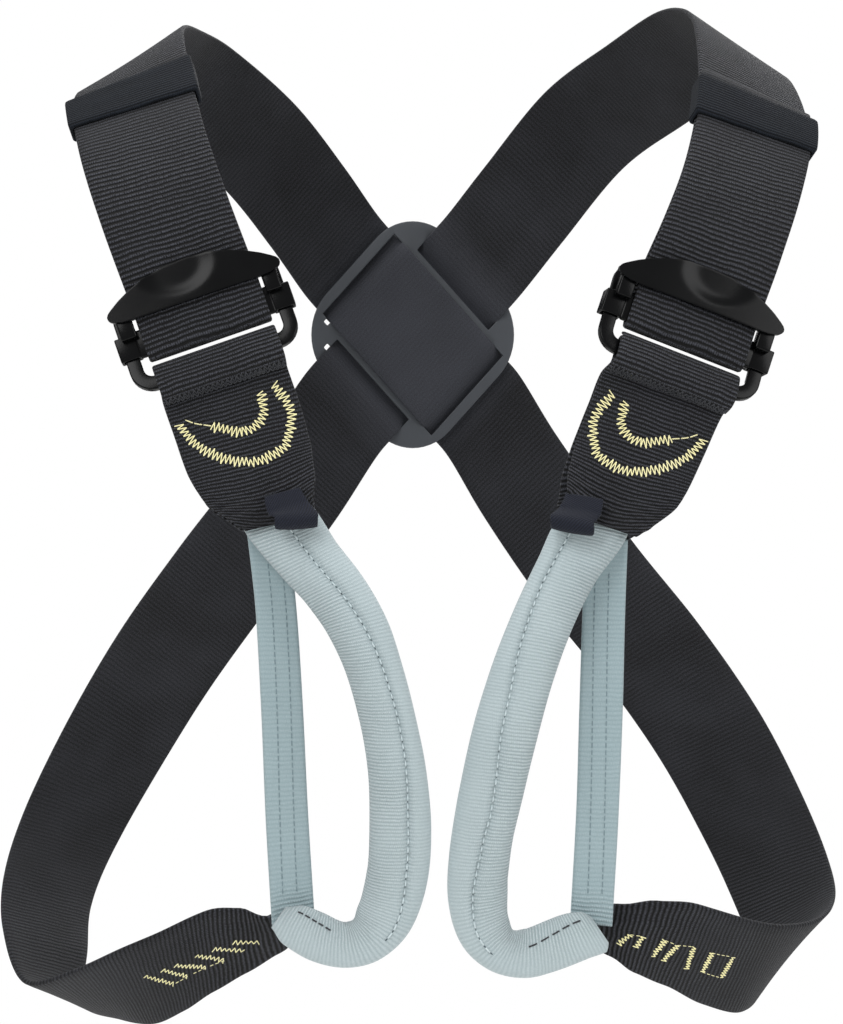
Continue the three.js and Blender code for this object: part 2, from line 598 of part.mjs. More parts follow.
// Half turn of webbing round a bar, from the front layer to the back layer, in the buckle's frame
const FOLD_STEPS = 6;
function foldSections(matrix, width, height, radius, downwards) {
  const acrossAxis = new THREE.Vector3().setFromMatrixColumn(matrix, 0);
  return Array.from({ length: FOLD_STEPS + 1 }, (_, k) => {
    const angle = (Math.PI * k) / FOLD_STEPS;
    const local = vec(0, height - downwards * radius * Math.sin(angle), radius * Math.cos(angle));
    return section(local.applyMatrix4(matrix), acrossAxis.clone(), width / 2, WEBBING_THICKNESS);
  });
}

// Shoulder strap: tail in front, fold round the slide's middle bar, the long run to the side,
// and a hem turned back under the gathered end
const TAIL_LENGTH = 112;
const TAIL_STRAIGHT = 14;
const TAIL_SETTLED = 45;
const HEM_LENGTH = 52;
const HEM_GAP = 0.5;
const HEM_SPREAD = 0.6;
function shoulderStrap(side, frontRows, pass, sideRows) {
  const matrix = buckleMatrix(BUCKLES[side]);
  const radius = BAR_THICKNESS / 2 + SEAT_GAP + WEBBING_THICKNESS / 2;
  const foldHeight = -BAR_HEIGHT / 2 + BAR_THICKNESS / 2;
  const fold = foldSections(matrix, WEBBING_WIDTH, foldHeight, radius, 1);
  aimLike(fold, frontRows[0]);
  aimLike(pass, frontRows.at(-1));
  const back = fold[FOLD_STEPS];
  const up = new THREE.Vector3().setFromMatrixColumn(matrix, 1);
  const out = new THREE.Vector3().setFromMatrixColumn(matrix, 2);
  const straight = section(
    back.centre.clone().addScaledVector(up, BAR_HEIGHT + LEVER_BOTTOM),
    back.across.clone(),
    back.half,
    back.thick,
  );
  const main = stationsOf([
    back,
    straight,
    ...webbingSections(frontRows, WEBBING_WIDTH, WEBBING_THICKNESS),
    ...pass,
    ...webbingSections(sideRows, WEBBING_WIDTH, WEBBING_THICKNESS),
  ]);
  const facing = Math.sign(normalsOf(main)[0].dot(out));
  const closePitch = WEBBING_THICKNESS + LAYER_GAP;
  const tail = stretchOf(main, 0, TAIL_LENGTH);
  const tailNormals = normalsOf(tail);
  tail.forEach((s, i) => {
    const along = (TAIL_LENGTH * i) / (tail.length - 1);
    const settled = THREE.MathUtils.smoothstep(along, TAIL_STRAIGHT, TAIL_SETTLED);
    const pitch = 2 * radius + (closePitch - 2 * radius) * settled;
    s.centre.addScaledVector(tailNormals[i], facing * pitch);
  });
  const front = [...tail.reverse().slice(0, -1), ...fold.slice(0, -1)];
  return { whole: [...front, ...main, ...hemOf(main, facing)], main, facing };
}

// Turns the width directions of a run to agree with a row of a table
function aimLike(sections, row) {
  const sign = Math.sign(sections[0].across.dot(aimed(row.turn, row.rise)));
  sections.forEach((s) => s.across.multiplyScalar(sign));
}

// Hem behind the last stretch of a run, joined to it by a tight half turn
function hemOf(main, facing) {
  const length = main.reduce((sum, s, i) => (i ? sum + s.centre.distanceTo(main[i - 1].centre) : 0), 0);
  const hem = stretchOf(main, length - HEM_LENGTH, length).reverse();
  const end = hem[0];
  const normals = normalsOf(hem);
  const away = end.centre.clone().sub(hem[1].centre).normalize();
  const pitch = WEBBING_THICKNESS + LAYER_GAP + HEM_GAP;
  hem.forEach((s, i) => {
    s.centre.addScaledVector(normals[i], facing * pitch);
    s.half *= i ? HEM_SPREAD : 1;
  });
  const turn = section(end.centre.clone(), end.across.clone(), end.half, end.thick);
  turn.centre.addScaledVector(normals[0], (-facing * pitch) / 2).addScaledVector(away, pitch / 2);
  return [turn, ...hem];
}

// Elastic keeper round both layers of the strap
function keeper({ main, facing }, start) {
  const run = stretchOf(main, start, start + KEEPER_LENGTH, KEEPER_LENGTH / 4);
  const lift = (facing * (WEBBING_THICKNESS + LAYER_GAP)) / 2;
  const room = (WEBBING_THICKNESS + LAYER_GAP) / 2 + SEAT_GAP;
  return band(run, lift, room, KEEPER_WALL);
}

// Lower webbing: flap under the buckle, over the frame's lower bar, down behind to the grey loop,
// and back up the front to the flap
const BELOW_FRAME = FRAME_BAR + 1;
function lowerWebbing(side, rows) {
  const matrix = buckleMatrix(BUCKLES[side]);
  const tilted = matrix.clone().multiply(frameTilt);
  const radius = FRAME_THICKNESS / 2 + SEAT_GAP + WEBBING_THICKNESS / 2;
  const top = FRAME_BOTTOM + FRAME_BAR + SEAT_GAP + WEBBING_THICKNESS / 2;
  const fold = foldSections(tilted, WEBBING_WIDTH, top - radius, radius, -1);
  aimLike(fold, rows[0]);
  const down = new THREE.Vector3().setFromMatrixColumn(tilted, 1).negate();
  const straight = (end) =>
    section(end.centre.clone().addScaledVector(down, BELOW_FRAME), end.across.clone(), end.half, end.thick);
  const out = new THREE.Vector3().setFromMatrixColumn(matrix, 2);
  const layer = (face) =>
    rows.map((row) => {
      const centre = placed(row).addScaledVector(out, face * row.part * WEBBING_THICKNESS);
      return section(centre, aimed(row.turn, row.rise), (WEBBING_WIDTH * row.spread) / 2, WEBBING_THICKNESS);
    });
  const ends = [straight(fold[0]), straight(fold[FOLD_STEPS])];
  const run = [...layer(1).reverse(), ends[0], ...fold, ends[1], ...layer(-1)];
  return ribbon(stationsOf(run, SHORT_STEP));
}

// Small dark tape rolled in front of the lower webbing's end
const TAPE_SECTIONS = 9;
const TAPE_FLATNESS = 0.7;
function tapeLoop(place) {
  const across = aimed(place.turn, place.rise);
  const centre = placed(place);
  const sections = Array.from({ length: TAPE_SECTIONS }, (_, k) => {
    const angle = (2 * Math.PI * k) / (TAPE_SECTIONS + 1);
    const point = centre.clone();
    point.y -= TAPE_ROLL * TAPE_FLATNESS * Math.sin(angle);
    point.z += TAPE_ROLL * Math.cos(angle);
    return section(point, across.clone(), TAPE_WIDTH / 2, TAPE_THICKNESS);
  });
  return ribbon(stationsOf(sections, TAPE_STEP));
}

function padLoop(rows) {
  const sections = rows.map((row) =>
    section(placed(row), aimed(row.turn, row.rise), (PAD_WIDTH * row.width) / 2, PAD_THICKNESS * row.thick),
  );
  return sleeve(stationsOf(sections, SHORT_STEP));
}
const flatLoop = (rows) => ribbon(stationsOf(webbingSections(rows, FLAT_WIDTH, FLAT_THICKNESS)));

// Materials by slot name
const slots = {
  plate_plastic: 0x4a4f55,
  black_webbing: 0x2d2f34,
  elastic_band: 0x26282c,
  buckle_metal: 0x1c1e22,
  grey_sleeve: 0xb9c6c9,
  grey_webbing: 0xa9b7bb,
  dark_tape: 0x23283a,
};
const materials = Object.fromEntries(
  Object.entries(slots).map(([name, color]) => [name, new THREE.MeshStandardMaterial({ name, color })]),
);

const part = new THREE.Group();
part.name = "chest_harness";
function add(name, geometry, slot, matrix) {
  const mesh = new THREE.Mesh(geometry, materials[slot]);
  mesh.name = name;
  if (matrix) {
    mesh.geometry.applyMatrix4(matrix);
  }
  part.add(mesh);
}

// The two sides of the harness
const SIDES = {
  left: {
    strap: [LEFT_SHOULDER_ROWS, platePass(axisA, axisB, true), LEFT_SHOULDER_TO_SIDE_ROWS],
    lower: LEFT_LOWER_ROWS,
    pad: LEFT_PAD_ROWS,
    flat: LEFT_FLAT_ROWS,
  },
  right: {
    strap: [RIGHT_SHOULDER_ROWS, platePass(axisB, axisA, false), RIGHT_SHOULDER_TO_SIDE_ROWS],
    lower: RIGHT_LOWER_ROWS,
    pad: RIGHT_PAD_ROWS,
    flat: RIGHT_FLAT_ROWS,
  },
};

add("back_plate", backPlate(), "plate_plastic");
for (const [side, rows] of Object.entries(SIDES)) {
  const matrix = buckleMatrix(BUCKLES[side]);
  const strap = shoulderStrap(side, ...rows.strap);
  add(side + "_shoulder_strap", ribbon(strap.whole), "black_webbing");
  add(side + "_keeper", keeper(strap, KEEPER_STARTS[side]), "elastic_band");
  add(side + "_buckle_frame", buckleFrame(), "buckle_metal", matrix);
  add(side + "_buckle_slide", buckleSlide(), "buckle_metal", matrix);
  add(side + "_lower_webbing", lowerWebbing(side, rows.lower), "black_webbing");
  add(side + "_padded_loop", padLoop(rows.pad), "grey_sleeve");
  add(side + "_flat_loop_strap", flatLoop(rows.flat), "grey_webbing");
  add(side + "_tape_loop", tapeLoop(TAPE_PLACES[side]), "dark_tape");
}

export default part;
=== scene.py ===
# %% [markdown]
# # Climbing chest harness, dressed in Blender
# The harness is shown as worn: two lengths of black webbing cross in a plate on the back,
# come over the shoulders to two slide buckles, and end at two grey tie-in loops.
# The imported model is loaded first. Each soft piece is then built again
# with its weave, seams and threads in the place that its plain solid holds.

# %% Load the imported frame
import math

import bmesh
import bpy
import numpy as np
from mathutils import Matrix, Vector


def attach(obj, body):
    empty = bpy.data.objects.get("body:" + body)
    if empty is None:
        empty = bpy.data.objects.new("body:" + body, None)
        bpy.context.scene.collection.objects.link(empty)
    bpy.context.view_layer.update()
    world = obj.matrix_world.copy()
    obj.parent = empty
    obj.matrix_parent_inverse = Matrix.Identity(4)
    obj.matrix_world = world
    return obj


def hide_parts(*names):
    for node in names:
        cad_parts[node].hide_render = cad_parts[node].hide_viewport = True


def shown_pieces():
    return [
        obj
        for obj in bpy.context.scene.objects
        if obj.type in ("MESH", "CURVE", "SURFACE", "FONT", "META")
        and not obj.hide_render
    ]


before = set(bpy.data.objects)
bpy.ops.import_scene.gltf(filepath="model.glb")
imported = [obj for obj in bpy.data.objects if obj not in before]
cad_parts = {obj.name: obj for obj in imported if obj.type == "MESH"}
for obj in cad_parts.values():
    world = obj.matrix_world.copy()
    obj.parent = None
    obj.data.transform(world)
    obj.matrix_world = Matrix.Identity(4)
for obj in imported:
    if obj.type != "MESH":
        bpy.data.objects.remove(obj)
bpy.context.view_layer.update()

print("nodes", sorted(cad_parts))

# %% [markdown]
# ## Camera
# The picture is taken from straight in front, a little to one side, with a long lens.
# The width of the webbing at the front and at the back plate gives the distance:
# about 1.18 m from the middle of the harness. A long lens at that distance keeps the
# back webbing almost as wide as the front webbing.

# %% Camera at the picture's angle
MM = 0.001
PICTURE_HEIGHT_PX = 1024
SENSOR_MM = 36.0
FOCAL_PX = 3077.0
CAMERA_DISTANCE = 1180 * MM
CAMERA_TURN = math.radians(2.7)
CAMERA_SHIFT_SIDEWAYS = 2.1 * MM
CAMERA_HEIGHT = -175 * MM

camera_data = bpy.data.cameras.new("camera")
camera_data.lens = FOCAL_PX * SENSOR_MM / PICTURE_HEIGHT_PX
camera_data.sensor_width = SENSOR_MM
camera_data.clip_start = 0.05
camera_data.clip_end = 30
camera = bpy.data.objects.new("camera", camera_data)
bpy.context.scene.collection.objects.link(camera)
look = Vector((math.sin(CAMERA_TURN), math.cos(CAMERA_TURN), 0))
aside = Vector((math.cos(CAMERA_TURN), -math.sin(CAMERA_TURN), 0))
camera.location = -CAMERA_DISTANCE * look - CAMERA_SHIFT_SIDEWAYS * aside
camera.location.z = CAMERA_HEIGHT
camera.rotation_euler = (math.pi / 2, 0, -CAMERA_TURN)
bpy.context.scene.camera = camera
print("camera", tuple(round(v, 3) for v in camera.location), "lens", round(camera_data.lens, 1))

# %% [markdown]
# ## Smooth runs of webbing
# Webbing bends easily along its length and keeps its width, so a strap is fully known from
# a few sections: where its middle is, which way its width points and how much of its width
# is spread out. A smooth curve through the sections gives as many in-between ones as the
# weave needs. The tables hold shares of the worn form's own sizes.

# %% Named sizes
HALF_BREADTH = 145 * MM
HALF_DEPTH = 105 * MM
DROP = 345 * MM
WEBBING_WIDTH = 45 * MM
WEBBING_THICKNESS = 2 * MM
LAYER_GAP = 0.35 * MM
SEAT_GAP = 0.35 * MM

# %% Smooth curves through table rows
def curve_at(points, t, centripetal=True, tension=0.5):
    """A smooth curve through the points, at shares t of the way through their list."""
    points = np.asarray(points, float)
    last = len(points) - 1
    segment = np.minimum((t * last).astype(int), last - 1)
    share = (t * last - segment)[:, None]
    padded = np.vstack([2 * points[0] - points[1], points, 2 * points[-1] - points[-2]])
    p0, p1, p2, p3 = (padded[segment + k] for k in range(4))
    if centripetal:
        d0, d1, d2 = (
            np.maximum(((b - a) ** 2).sum(1), 1e-16)[:, None] ** 0.25
            for a, b in ((p0, p1), (p1, p2), (p2, p3))
        )
        start = ((p1 - p0) / d0 - (p2 - p0) / (d0 + d1) + (p2 - p1) / d1) * d1
        end = ((p2 - p1) / d1 - (p3 - p1) / (d1 + d2) + (p3 - p2) / d2) * d1
    else:
        start = tension * (p2 - p0)
        end = tension * (p3 - p1)
    square = -3 * p1 + 3 * p2 - 2 * start - end
    cube = 2 * p1 - 2 * p2 + start + end
    return p1 + start * share + square * share**2 + cube * share**3


def path_lengths(points):
    return np.concatenate([[0], np.cumsum(np.linalg.norm(np.diff(points, axis=0), axis=1))])


def columns_at(wanted, along, values):
    return np.column_stack([np.interp(wanted, along, column) for column in values.T])


class Run:
    """Sections in a row: centres, unit width directions, half widths and thicknesses."""

    def __init__(self, centre, across, half, thick):
        self.centre = np.asarray(centre, float)
        across = np.asarray(across, float)
        self.across = across / np.linalg.norm(across, axis=1)[:, None]
        self.half = np.asarray(half, float)
        self.thick = np.asarray(thick, float)

    def along(self):
        return path_lengths(self.centre)

    def normals(self):
        ahead = np.vstack([self.centre[1:], self.centre[-1:]])
        behind = np.vstack([self.centre[:1], self.centre[:-1]])
        normal = np.cross(ahead - behind, self.across)
        return normal / np.linalg.norm(normal, axis=1)[:, None]

    def smooth(self, step):
        last = len(self.centre) - 1
        spans = np.linalg.norm(np.diff(self.centre, axis=0), axis=1)
        t = [0.0]
        for i, span in enumerate(spans):
            count = max(1, round(span / step))
            t.extend((i + (k + 1) / count) / last for k in range(count))
        t = np.minimum(np.array(t), 1.0)
        size = curve_at(np.column_stack([self.half, self.thick]), t, False, 0.3)
        aims = curve_at(self.across, t, False, 0.5)
        return Run(curve_at(self.centre, t), aims, size[:, 0], size[:, 1])

    def stretch(self, start, end, step):
        along = self.along()
        wanted = np.linspace(start, end, max(2, round((end - start) / step)) + 1)
        half = np.interp(wanted, along, self.half)
        thick = np.interp(wanted, along, self.thick)
        centre, across = (columns_at(wanted, along, v) for v in (self.centre, self.across))
        return Run(centre, across, half, thick)

    def part(self, start=None, end=None, step=None):
        cut = slice(start, end, step)
        return Run(self.centre[cut], self.across[cut], self.half[cut], self.thick[cut])

    def turned(self):
        return self.part(step=-1)

    def moved(self, offset):
        return Run(self.centre + offset, self.across, self.half, self.thick)

    def like(self, direction):
        sign = np.sign(self.across[0] @ np.asarray(direction))
        return Run(self.centre, self.across * sign, self.half, self.thick)


def joined_runs(*runs):
    parts = ([getattr(run, part) for run in runs] for part in ("centre", "across", "half", "thick"))
    return Run(*(np.concatenate(part) for part in parts))


def aimed(turn, rise):
    turn, rise = np.radians(turn), np.radians(rise)
    return np.array([np.cos(turn) * np.cos(rise), np.sin(turn) * np.cos(rise), np.sin(rise)]).T


def run_of(table, width, thickness):
    rows = np.array(table, float)
    centre = rows[:, :3] * [HALF_BREADTH, HALF_DEPTH, DROP]
    aims = aimed(rows[:, 3], rows[:, 4])
    return Run(centre, aims, width * rows[:, 5] / 2, thickness * rows[:, 6])


# %% Section tables of the two long straps
# Columns: across, depth and height as shares of the half breadth, half depth and drop;
# turn and rise of the width direction in degrees; shares of the full width and thickness.
LEFT_SHOULDER = [
    (-0.665, -0.96, -0.205, 180, -17, 1, 1),
    (-0.715, -0.86, -0.142, 179, -16, 1, 1),
    (-0.75, -0.665, -0.083, 180, -19, 1, 1),
    (-0.768, -0.43, -0.038, 181, -27, 1, 1),
    (-0.76, -0.15, -0.015, 182, -36, 1, 1),
    (-0.71, 0.14, -0.012, 182, -43, 1, 1),
    (-0.62, 0.46, -0.022, 181, -47, 1, 1),
    (-0.44, 0.76, -0.077, 180, -48.5, 1, 1),
    (-0.305, 0.93, -0.143, 180, -47.5, 1, 1),
]
LEFT_SHOULDER_TO_SIDE = [
    (0.3, 0.96, -0.462, 180, -45, 1, 1),
    (0.49, 0.85, -0.58, 174, -37, 1, 1),
    (0.66, 0.67, -0.675, 167, -31, 1, 1),
    (0.8, 0.47, -0.768, 161, -26, 1, 1),
    (0.89, 0.27, -0.85, 153, -23, 1, 1),
    (0.94, 0.07, -0.912, 145, -22, 1, 1),
    (0.955, -0.12, -0.955, 136, -28, 1, 1),
    (0.92, -0.35, -0.985, 124, -42, 1, 1),
    (0.82, -0.56, -0.992, 114, -52, 1, 1),
    (0.705, -0.69, -0.977, 112, -52, 0.98, 1),
    (0.6, -0.77, -0.957, 116, -54, 0.86, 1),
    (0.51, -0.8, -0.947, 125, -64, 0.66, 1),
    (0.44, -0.81, -0.94, 130, -72, 0.45, 1),
    (0.36, -0.8, -0.932, 135, -76, 0.32, 1),
]
RIGHT_SHOULDER = [
    (0.685, -0.96, -0.225, 12, -17, 1, 1),
    (0.742, -0.87, -0.165, 14, -14, 1, 1),
    (0.79, -0.69, -0.1, 12, -18, 1, 1),
    (0.81, -0.42, -0.037, 14, -24, 1, 1),
    (0.805, -0.12, 0.008, 17, -30, 1, 1),
    (0.745, 0.2, 0.018, 16, -38, 1, 1),
    (0.63, 0.52, -0.008, 12, -43, 1, 1),
    (0.475, 0.8, -0.052, 6, -43, 1, 1),
    (0.31, 0.94, -0.137, 3, -43, 1, 1),
]
RIGHT_SHOULDER_TO_SIDE = [
    (-0.35, 0.95, -0.478, 8, -42, 1, 1),
    (-0.56, 0.84, -0.593, 14, -40, 1, 1),
    (-0.745, 0.62, -0.705, 22, -35, 1, 1),
    (-0.948, 0.381, -0.861, 34, -20, 1, 1),
    (-1.004, 0.114, -0.932, 43, -17, 1, 1),
    (-0.998, -0.095, -0.976, 48, -16, 1, 1),
    (-0.963, -0.314, -1.023, 64, -18, 1, 1),
    (-0.846, -0.495, -1.017, 68, -31, 1, 1),
    (-0.742, -0.629, -1.003, 70, -44, 1, 1),
    (-0.647, -0.724, -0.982, 78, -48, 0.98, 1),
    (-0.559, -0.781, -0.960, 83, -54, 0.86, 1),
    (-0.477, -0.805, -0.948, 80, -58, 0.64, 1),
    (-0.404, -0.810, -0.942, 70, -48, 0.42, 1),
    (-0.36, -0.8, -0.935, 84, -70, 0.27, 1),
]
print("long strap sections", len(LEFT_SHOULDER + LEFT_SHOULDER_TO_SIDE))

# %% [markdown]
# ## Where the buckles and the plate sit
# Both straps are threaded through hard parts, so those are placed first. Each buckle has
# its own small frame: the origin on the middle bar, X along the webbing's width, Y up the
# strap and Z out to the front. The plate's two axes follow the two straps that cross on it.

# %% Buckle and plate placing
BAR_HEIGHT = 10 * MM
BAR_THICKNESS = 2.5 * MM
FRAME_BAR = 5 * MM
FRAME_THICKNESS = 3 * MM
FRAME_BOTTOM = -17.5 * MM
FRAME_TOP = 18 * MM
FRAME_TILT = math.radians(11.5)
FRAME_SET_BACK = 2.9 * MM
LEVER_BOTTOM = 8 * MM
# Columns: across, depth, height, turn and rise of the width, and how far the top leans back
BUCKLE_PLACES = {
    "left": (-0.569, -1.01, -0.316, 0, 19.2, 7),
    "right": (0.596, -1.01, -0.3235, 7, -20.3, 7),
}


def buckle_matrix(side):
    across, depth, height, turn, rise, lean = BUCKLE_PLACES[side]
    width = Vector(aimed(turn, rise))
    up = (Vector((0, 0, 1)) - width * width.z).normalized()
    up = Matrix.Rotation(-math.radians(lean), 3, width) @ up
    matrix = Matrix((width, up, width.cross(up))).transposed().to_4x4()
    matrix.translation = (across * HALF_BREADTH, depth * HALF_DEPTH, height * DROP)
    return matrix


ring_tilt = Matrix.Translation((0, 0, -FRAME_SET_BACK)) @ Matrix.Rotation(-FRAME_TILT, 4, "X")
PLATE_HALF_ANGLE = 48.2
PLATE_THICKNESS = 3 * MM
PLATE_REACH = 38.5 * MM
PLATE_CORNER = 23 * MM
SLOT_INNER = 25 * MM
SLOT_WIDTH = 9 * MM
plate_centre = np.array([-0.8 * MM, HALF_DEPTH, -101 * MM])
axis_a = aimed(0, -PLATE_HALF_ANGLE)
axis_b = aimed(180, -PLATE_HALF_ANGLE)
print("buckle origins", [buckle_matrix(side).translation[:] for side in BUCKLE_PLACES])

# %% Paths through the hard parts
FOLD_STEPS = 12


def fold_run(matrix, height, radius, downwards):
    angles = np.linspace(0, math.pi, FOLD_STEPS + 1)
    places = [(0, height - downwards * radius * math.sin(a), radius * math.cos(a)) for a in angles]
    points = [tuple(matrix @ Vector(place)) for place in places]
    count = len(points)
    width = np.tile(np.array(matrix.col[0][:3]), (count, 1))
    return Run(points, width, [WEBBING_WIDTH / 2] * count, [WEBBING_THICKNESS] * count)


PASS_GAP = PLATE_THICKNESS / 2 + SEAT_GAP + WEBBING_THICKNESS / 2
# Columns: distance along the strap from the plate's middle, and which side of the plate
PASS_ROWS = [
    (-(PLATE_REACH + 5 * MM), 1),
    (-(SLOT_INNER + SLOT_WIDTH - 1 * MM), 1),
    (-(SLOT_INNER + 1 * MM), -1),
    (-(SLOT_INNER - 6 * MM), -1),
    (SLOT_INNER - 6 * MM, -1),
    (SLOT_INNER + 1 * MM, -1),
    (SLOT_INNER + SLOT_WIDTH - 1 * MM, 1),
    (PLATE_REACH + 5 * MM, 1),
]


def plate_pass(axis, other, front_in_middle):
    facing = 1 if front_in_middle else -1
    centres = [
        plate_centre + axis * along + [0, facing * side * PASS_GAP, 0] for along, side in PASS_ROWS
    ]
    half = WEBBING_WIDTH / 2 / math.sin(math.radians(2 * PLATE_HALF_ANGLE))
    count = len(centres)
    return Run(centres, np.tile(other, (count, 1)), [half] * count, [WEBBING_THICKNESS] * count)


TAIL_LENGTH = 112 * MM
TAIL_STRAIGHT = 14 * MM
TAIL_SETTLED = 45 * MM
HEM_LENGTH = 52 * MM
HEM_GAP = 0.5 * MM
HEM_SPREAD = 0.6
HEM_EASE = 8 * MM
HEM_TURN_STEPS = 6
STRAP_STEP = 2 * MM


def strap_runs(side, front_table, plate_run, side_table):
    matrix = buckle_matrix(side)
    radius = BAR_THICKNESS / 2 + SEAT_GAP + WEBBING_THICKNESS / 2
    first_aim = aimed(front_table[0][3], front_table[0][4])
    fold = fold_run(matrix, (BAR_THICKNESS - BAR_HEIGHT) / 2, radius, 1).like(first_aim)
    plate_run = plate_run.like(aimed(front_table[-1][3], front_table[-1][4]))
    up, out = np.array(matrix.col[1][:3]), np.array(matrix.col[2][:3])
    back = Run(fold.centre[-1:], fold.across[-1:], fold.half[-1:], fold.thick[-1:])
    main = joined_runs(
        back,
        back.moved(up * (BAR_HEIGHT + LEVER_BOTTOM)),
        run_of(front_table, WEBBING_WIDTH, WEBBING_THICKNESS),
        plate_run,
        run_of(side_table, WEBBING_WIDTH, WEBBING_THICKNESS),
    ).smooth(STRAP_STEP)
    facing = np.sign(main.normals()[0] @ out)
    close = WEBBING_THICKNESS + LAYER_GAP
    tail = main.stretch(0, TAIL_LENGTH, STRAP_STEP)
    x = np.clip((tail.along() - TAIL_STRAIGHT) / (TAIL_SETTLED - TAIL_STRAIGHT), 0, 1)
    pitch = 2 * radius + (close - 2 * radius) * x * x * (3 - 2 * x)
    tail = tail.moved(facing * pitch[:, None] * tail.normals())
    length = main.along()[-1]
    hem = main.stretch(length - HEM_LENGTH, length, STRAP_STEP).turned()
    normals = hem.normals()
    away = hem.centre[0] - hem.centre[1]
    away /= np.linalg.norm(away)
    hem_pitch = close + HEM_GAP
    angles = np.linspace(0, math.pi, HEM_TURN_STEPS + 1)[1:-1, None]
    turn_centre = hem.centre[0] + facing * hem_pitch / 2 * (
        (1 - np.cos(angles)) * normals[0] + np.sin(angles) * facing * away
    )
    ones = np.ones(len(turn_centre))
    widths = np.tile(hem.across[0], (len(ones), 1))
    turn = Run(turn_centre, widths, hem.half[0] * ones, hem.thick[0] * ones)
    hem = hem.moved(facing * hem_pitch * normals)
    ease = np.clip(hem.along() / HEM_EASE, 0, 1)
    hem = Run(hem.centre, hem.across, hem.half * (1 + (HEM_SPREAD - 1) * ease), hem.thick)
    tail_back = tail.turned()
    whole = joined_runs(tail_back.part(0, -1), fold.part(0, -1), main, turn, hem)
    return {"whole": whole, "main": main, "tail": tail, "facing": facing}


left_pass, right_pass = plate_pass(axis_a, axis_b, True), plate_pass(axis_b, axis_a, False)
straps = {
    "left": strap_runs("left", LEFT_SHOULDER, left_pass, LEFT_SHOULDER_TO_SIDE),
    "right": strap_runs("right", RIGHT_SHOULDER, right_pass, RIGHT_SHOULDER_TO_SIDE),
}
for side, runs in straps.items():
    print(side, "strap length", round(runs["whole"].along()[-1], 3), "m")

# %% [markdown]
# ## Webbing as a woven ribbon
# Flat webbing has rounded edges where the filling thread turns back. A ring of points is
# laid round each section: flat on both faces and falling off at the edges. The piece also
# gets a UV map in metres, U over the width and V along the length, so the weave
# follows the strap round every bend. A second value, relief, says how deep the ribs stand:
# deep where the webbing is bent or bunched at the front, shallow where it lies flat behind.
# The relief also sets how strongly light and shade are painted on the ribs.

# %% Ribbon meshes
# Columns: place over the half width, and height over the half thickness
UPPER_PROFILE = [
    (-1, 0), (-0.992, 0.62), (-0.965, 0.94), (-0.8, 1), (-0.6, 1), (-0.4, 1), (-0.2, 1),
    (0, 1), (0.2, 1), (0.4, 1), (0.6, 1), (0.8, 1), (0.965, 0.94), (0.992, 0.62),
]
WEBBING_PROFILE = np.array(UPPER_PROFILE + [(-x, -y) for x, y in UPPER_PROFILE], float)


def new_piece(name, verts, faces, uvs=None, relief=None):
    mesh = bpy.data.meshes.new(name)
    mesh.from_pydata([tuple(v) for v in verts], [], faces)
    if uvs is not None:
        layer = mesh.uv_layers.new(name="cloth")
        loops = np.empty(len(mesh.loops), int)
        mesh.loops.foreach_get("vertex_index", loops)
        layer.data.foreach_set("uv", np.asarray(uvs)[loops].astype(np.float32).ravel())
    if relief is not None:
        layer = mesh.attributes.new("relief", "FLOAT", "POINT")
        layer.data.foreach_set("value", np.asarray(relief, np.float32))
    mesh.update()
    piece = bpy.data.objects.new(name, mesh)
    bpy.context.scene.collection.objects.link(piece)
    tool = bmesh.new()
    tool.from_mesh(mesh)
    if tool.calc_volume(signed=True) < 0:
        bmesh.ops.reverse_faces(tool, faces=tool.faces)
        tool.to_mesh(mesh)
    tool.free()
    mesh.shade_smooth()
    return piece


def settle(piece, node):
    """Hides the part a finished piece stands for and sets what it moves with."""
    if node:
        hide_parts(node)
    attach(piece, "root")
    print(piece.name, len(piece.data.polygons), "faces")
    return piece


def lofted(rings):
    count, size = rings.shape[:2]
    ring, place = np.meshgrid(np.arange(count - 1), np.arange(size), indexing="ij")
    following = (place + 1) % size
    a, b = ring * size + place, ring * size + following
    faces = np.stack([a, b, b + size, a + size], -1).reshape(-1, 4).tolist()
    faces.append(list(range(size))[::-1])
    faces.append([(count - 1) * size + j for j in range(size)])
    return rings.reshape(-1, 3), faces


def ribbon(name, run, relief, ripple=0.0, rib_bend=0.0):
    side, face = WEBBING_PROFILE[None, :, :1], WEBBING_PROFILE[None, :, 1:]
    normals = run.normals()
    rings = run.centre[:, None] + side * (run.half[:, None, None] * run.across[:, None])
    rings = rings + face * (run.thick[:, None, None] / 2 * normals[:, None])
    waves = np.broadcast_to(ripple, rings.shape[:2])
    rings = rings + waves[..., None] * normals[:, None]
    verts, faces = lofted(rings)
    along = run.along()
    # The weave keeps its thread count where cloth is gathered, so U uses the full width
    full = run.half.max()
    flat = np.broadcast_arrays(WEBBING_PROFILE[None, :, 0] * full, along[:, None] - rib_bend)
    depth = np.broadcast_to(np.reshape(relief, (-1, 1)), rings.shape[:2])
    return new_piece(name, verts, faces, np.stack(flat, -1).reshape(-1, 2), depth.ravel())


# %% The two long straps
FRONT_RELIEF = 1.0
SIDE_RELIEF = 0.3
BACK_RELIEF = 0.12
# Over the plate the relief is so low that the webbing gets the painted sheen
PLATE_RELIEF = 0.05
END_RELIEF = 1.5
ISLAND_RISE = 0.5 * MM
ISLAND_START = 66 * MM
ISLAND_END = 10 * MM
ISLAND_RAMP = 4 * MM
ISLAND_SHARE = 0.55
RELIEF_SPREAD = 15
# Shares of the half depth and of the drop that part the front, the sides and the back
BACK_FROM, FRONT_FROM, LOWER_FROM = 0.1, -0.35, -0.5
PLATE_SPAN = 42 * MM
# The loose tail lies pressed flat under the keeper and just below it
TAIL_PRESSED, TAIL_FREE = 22 * MM, 42 * MM
PRESSED_SHARE = 0.25


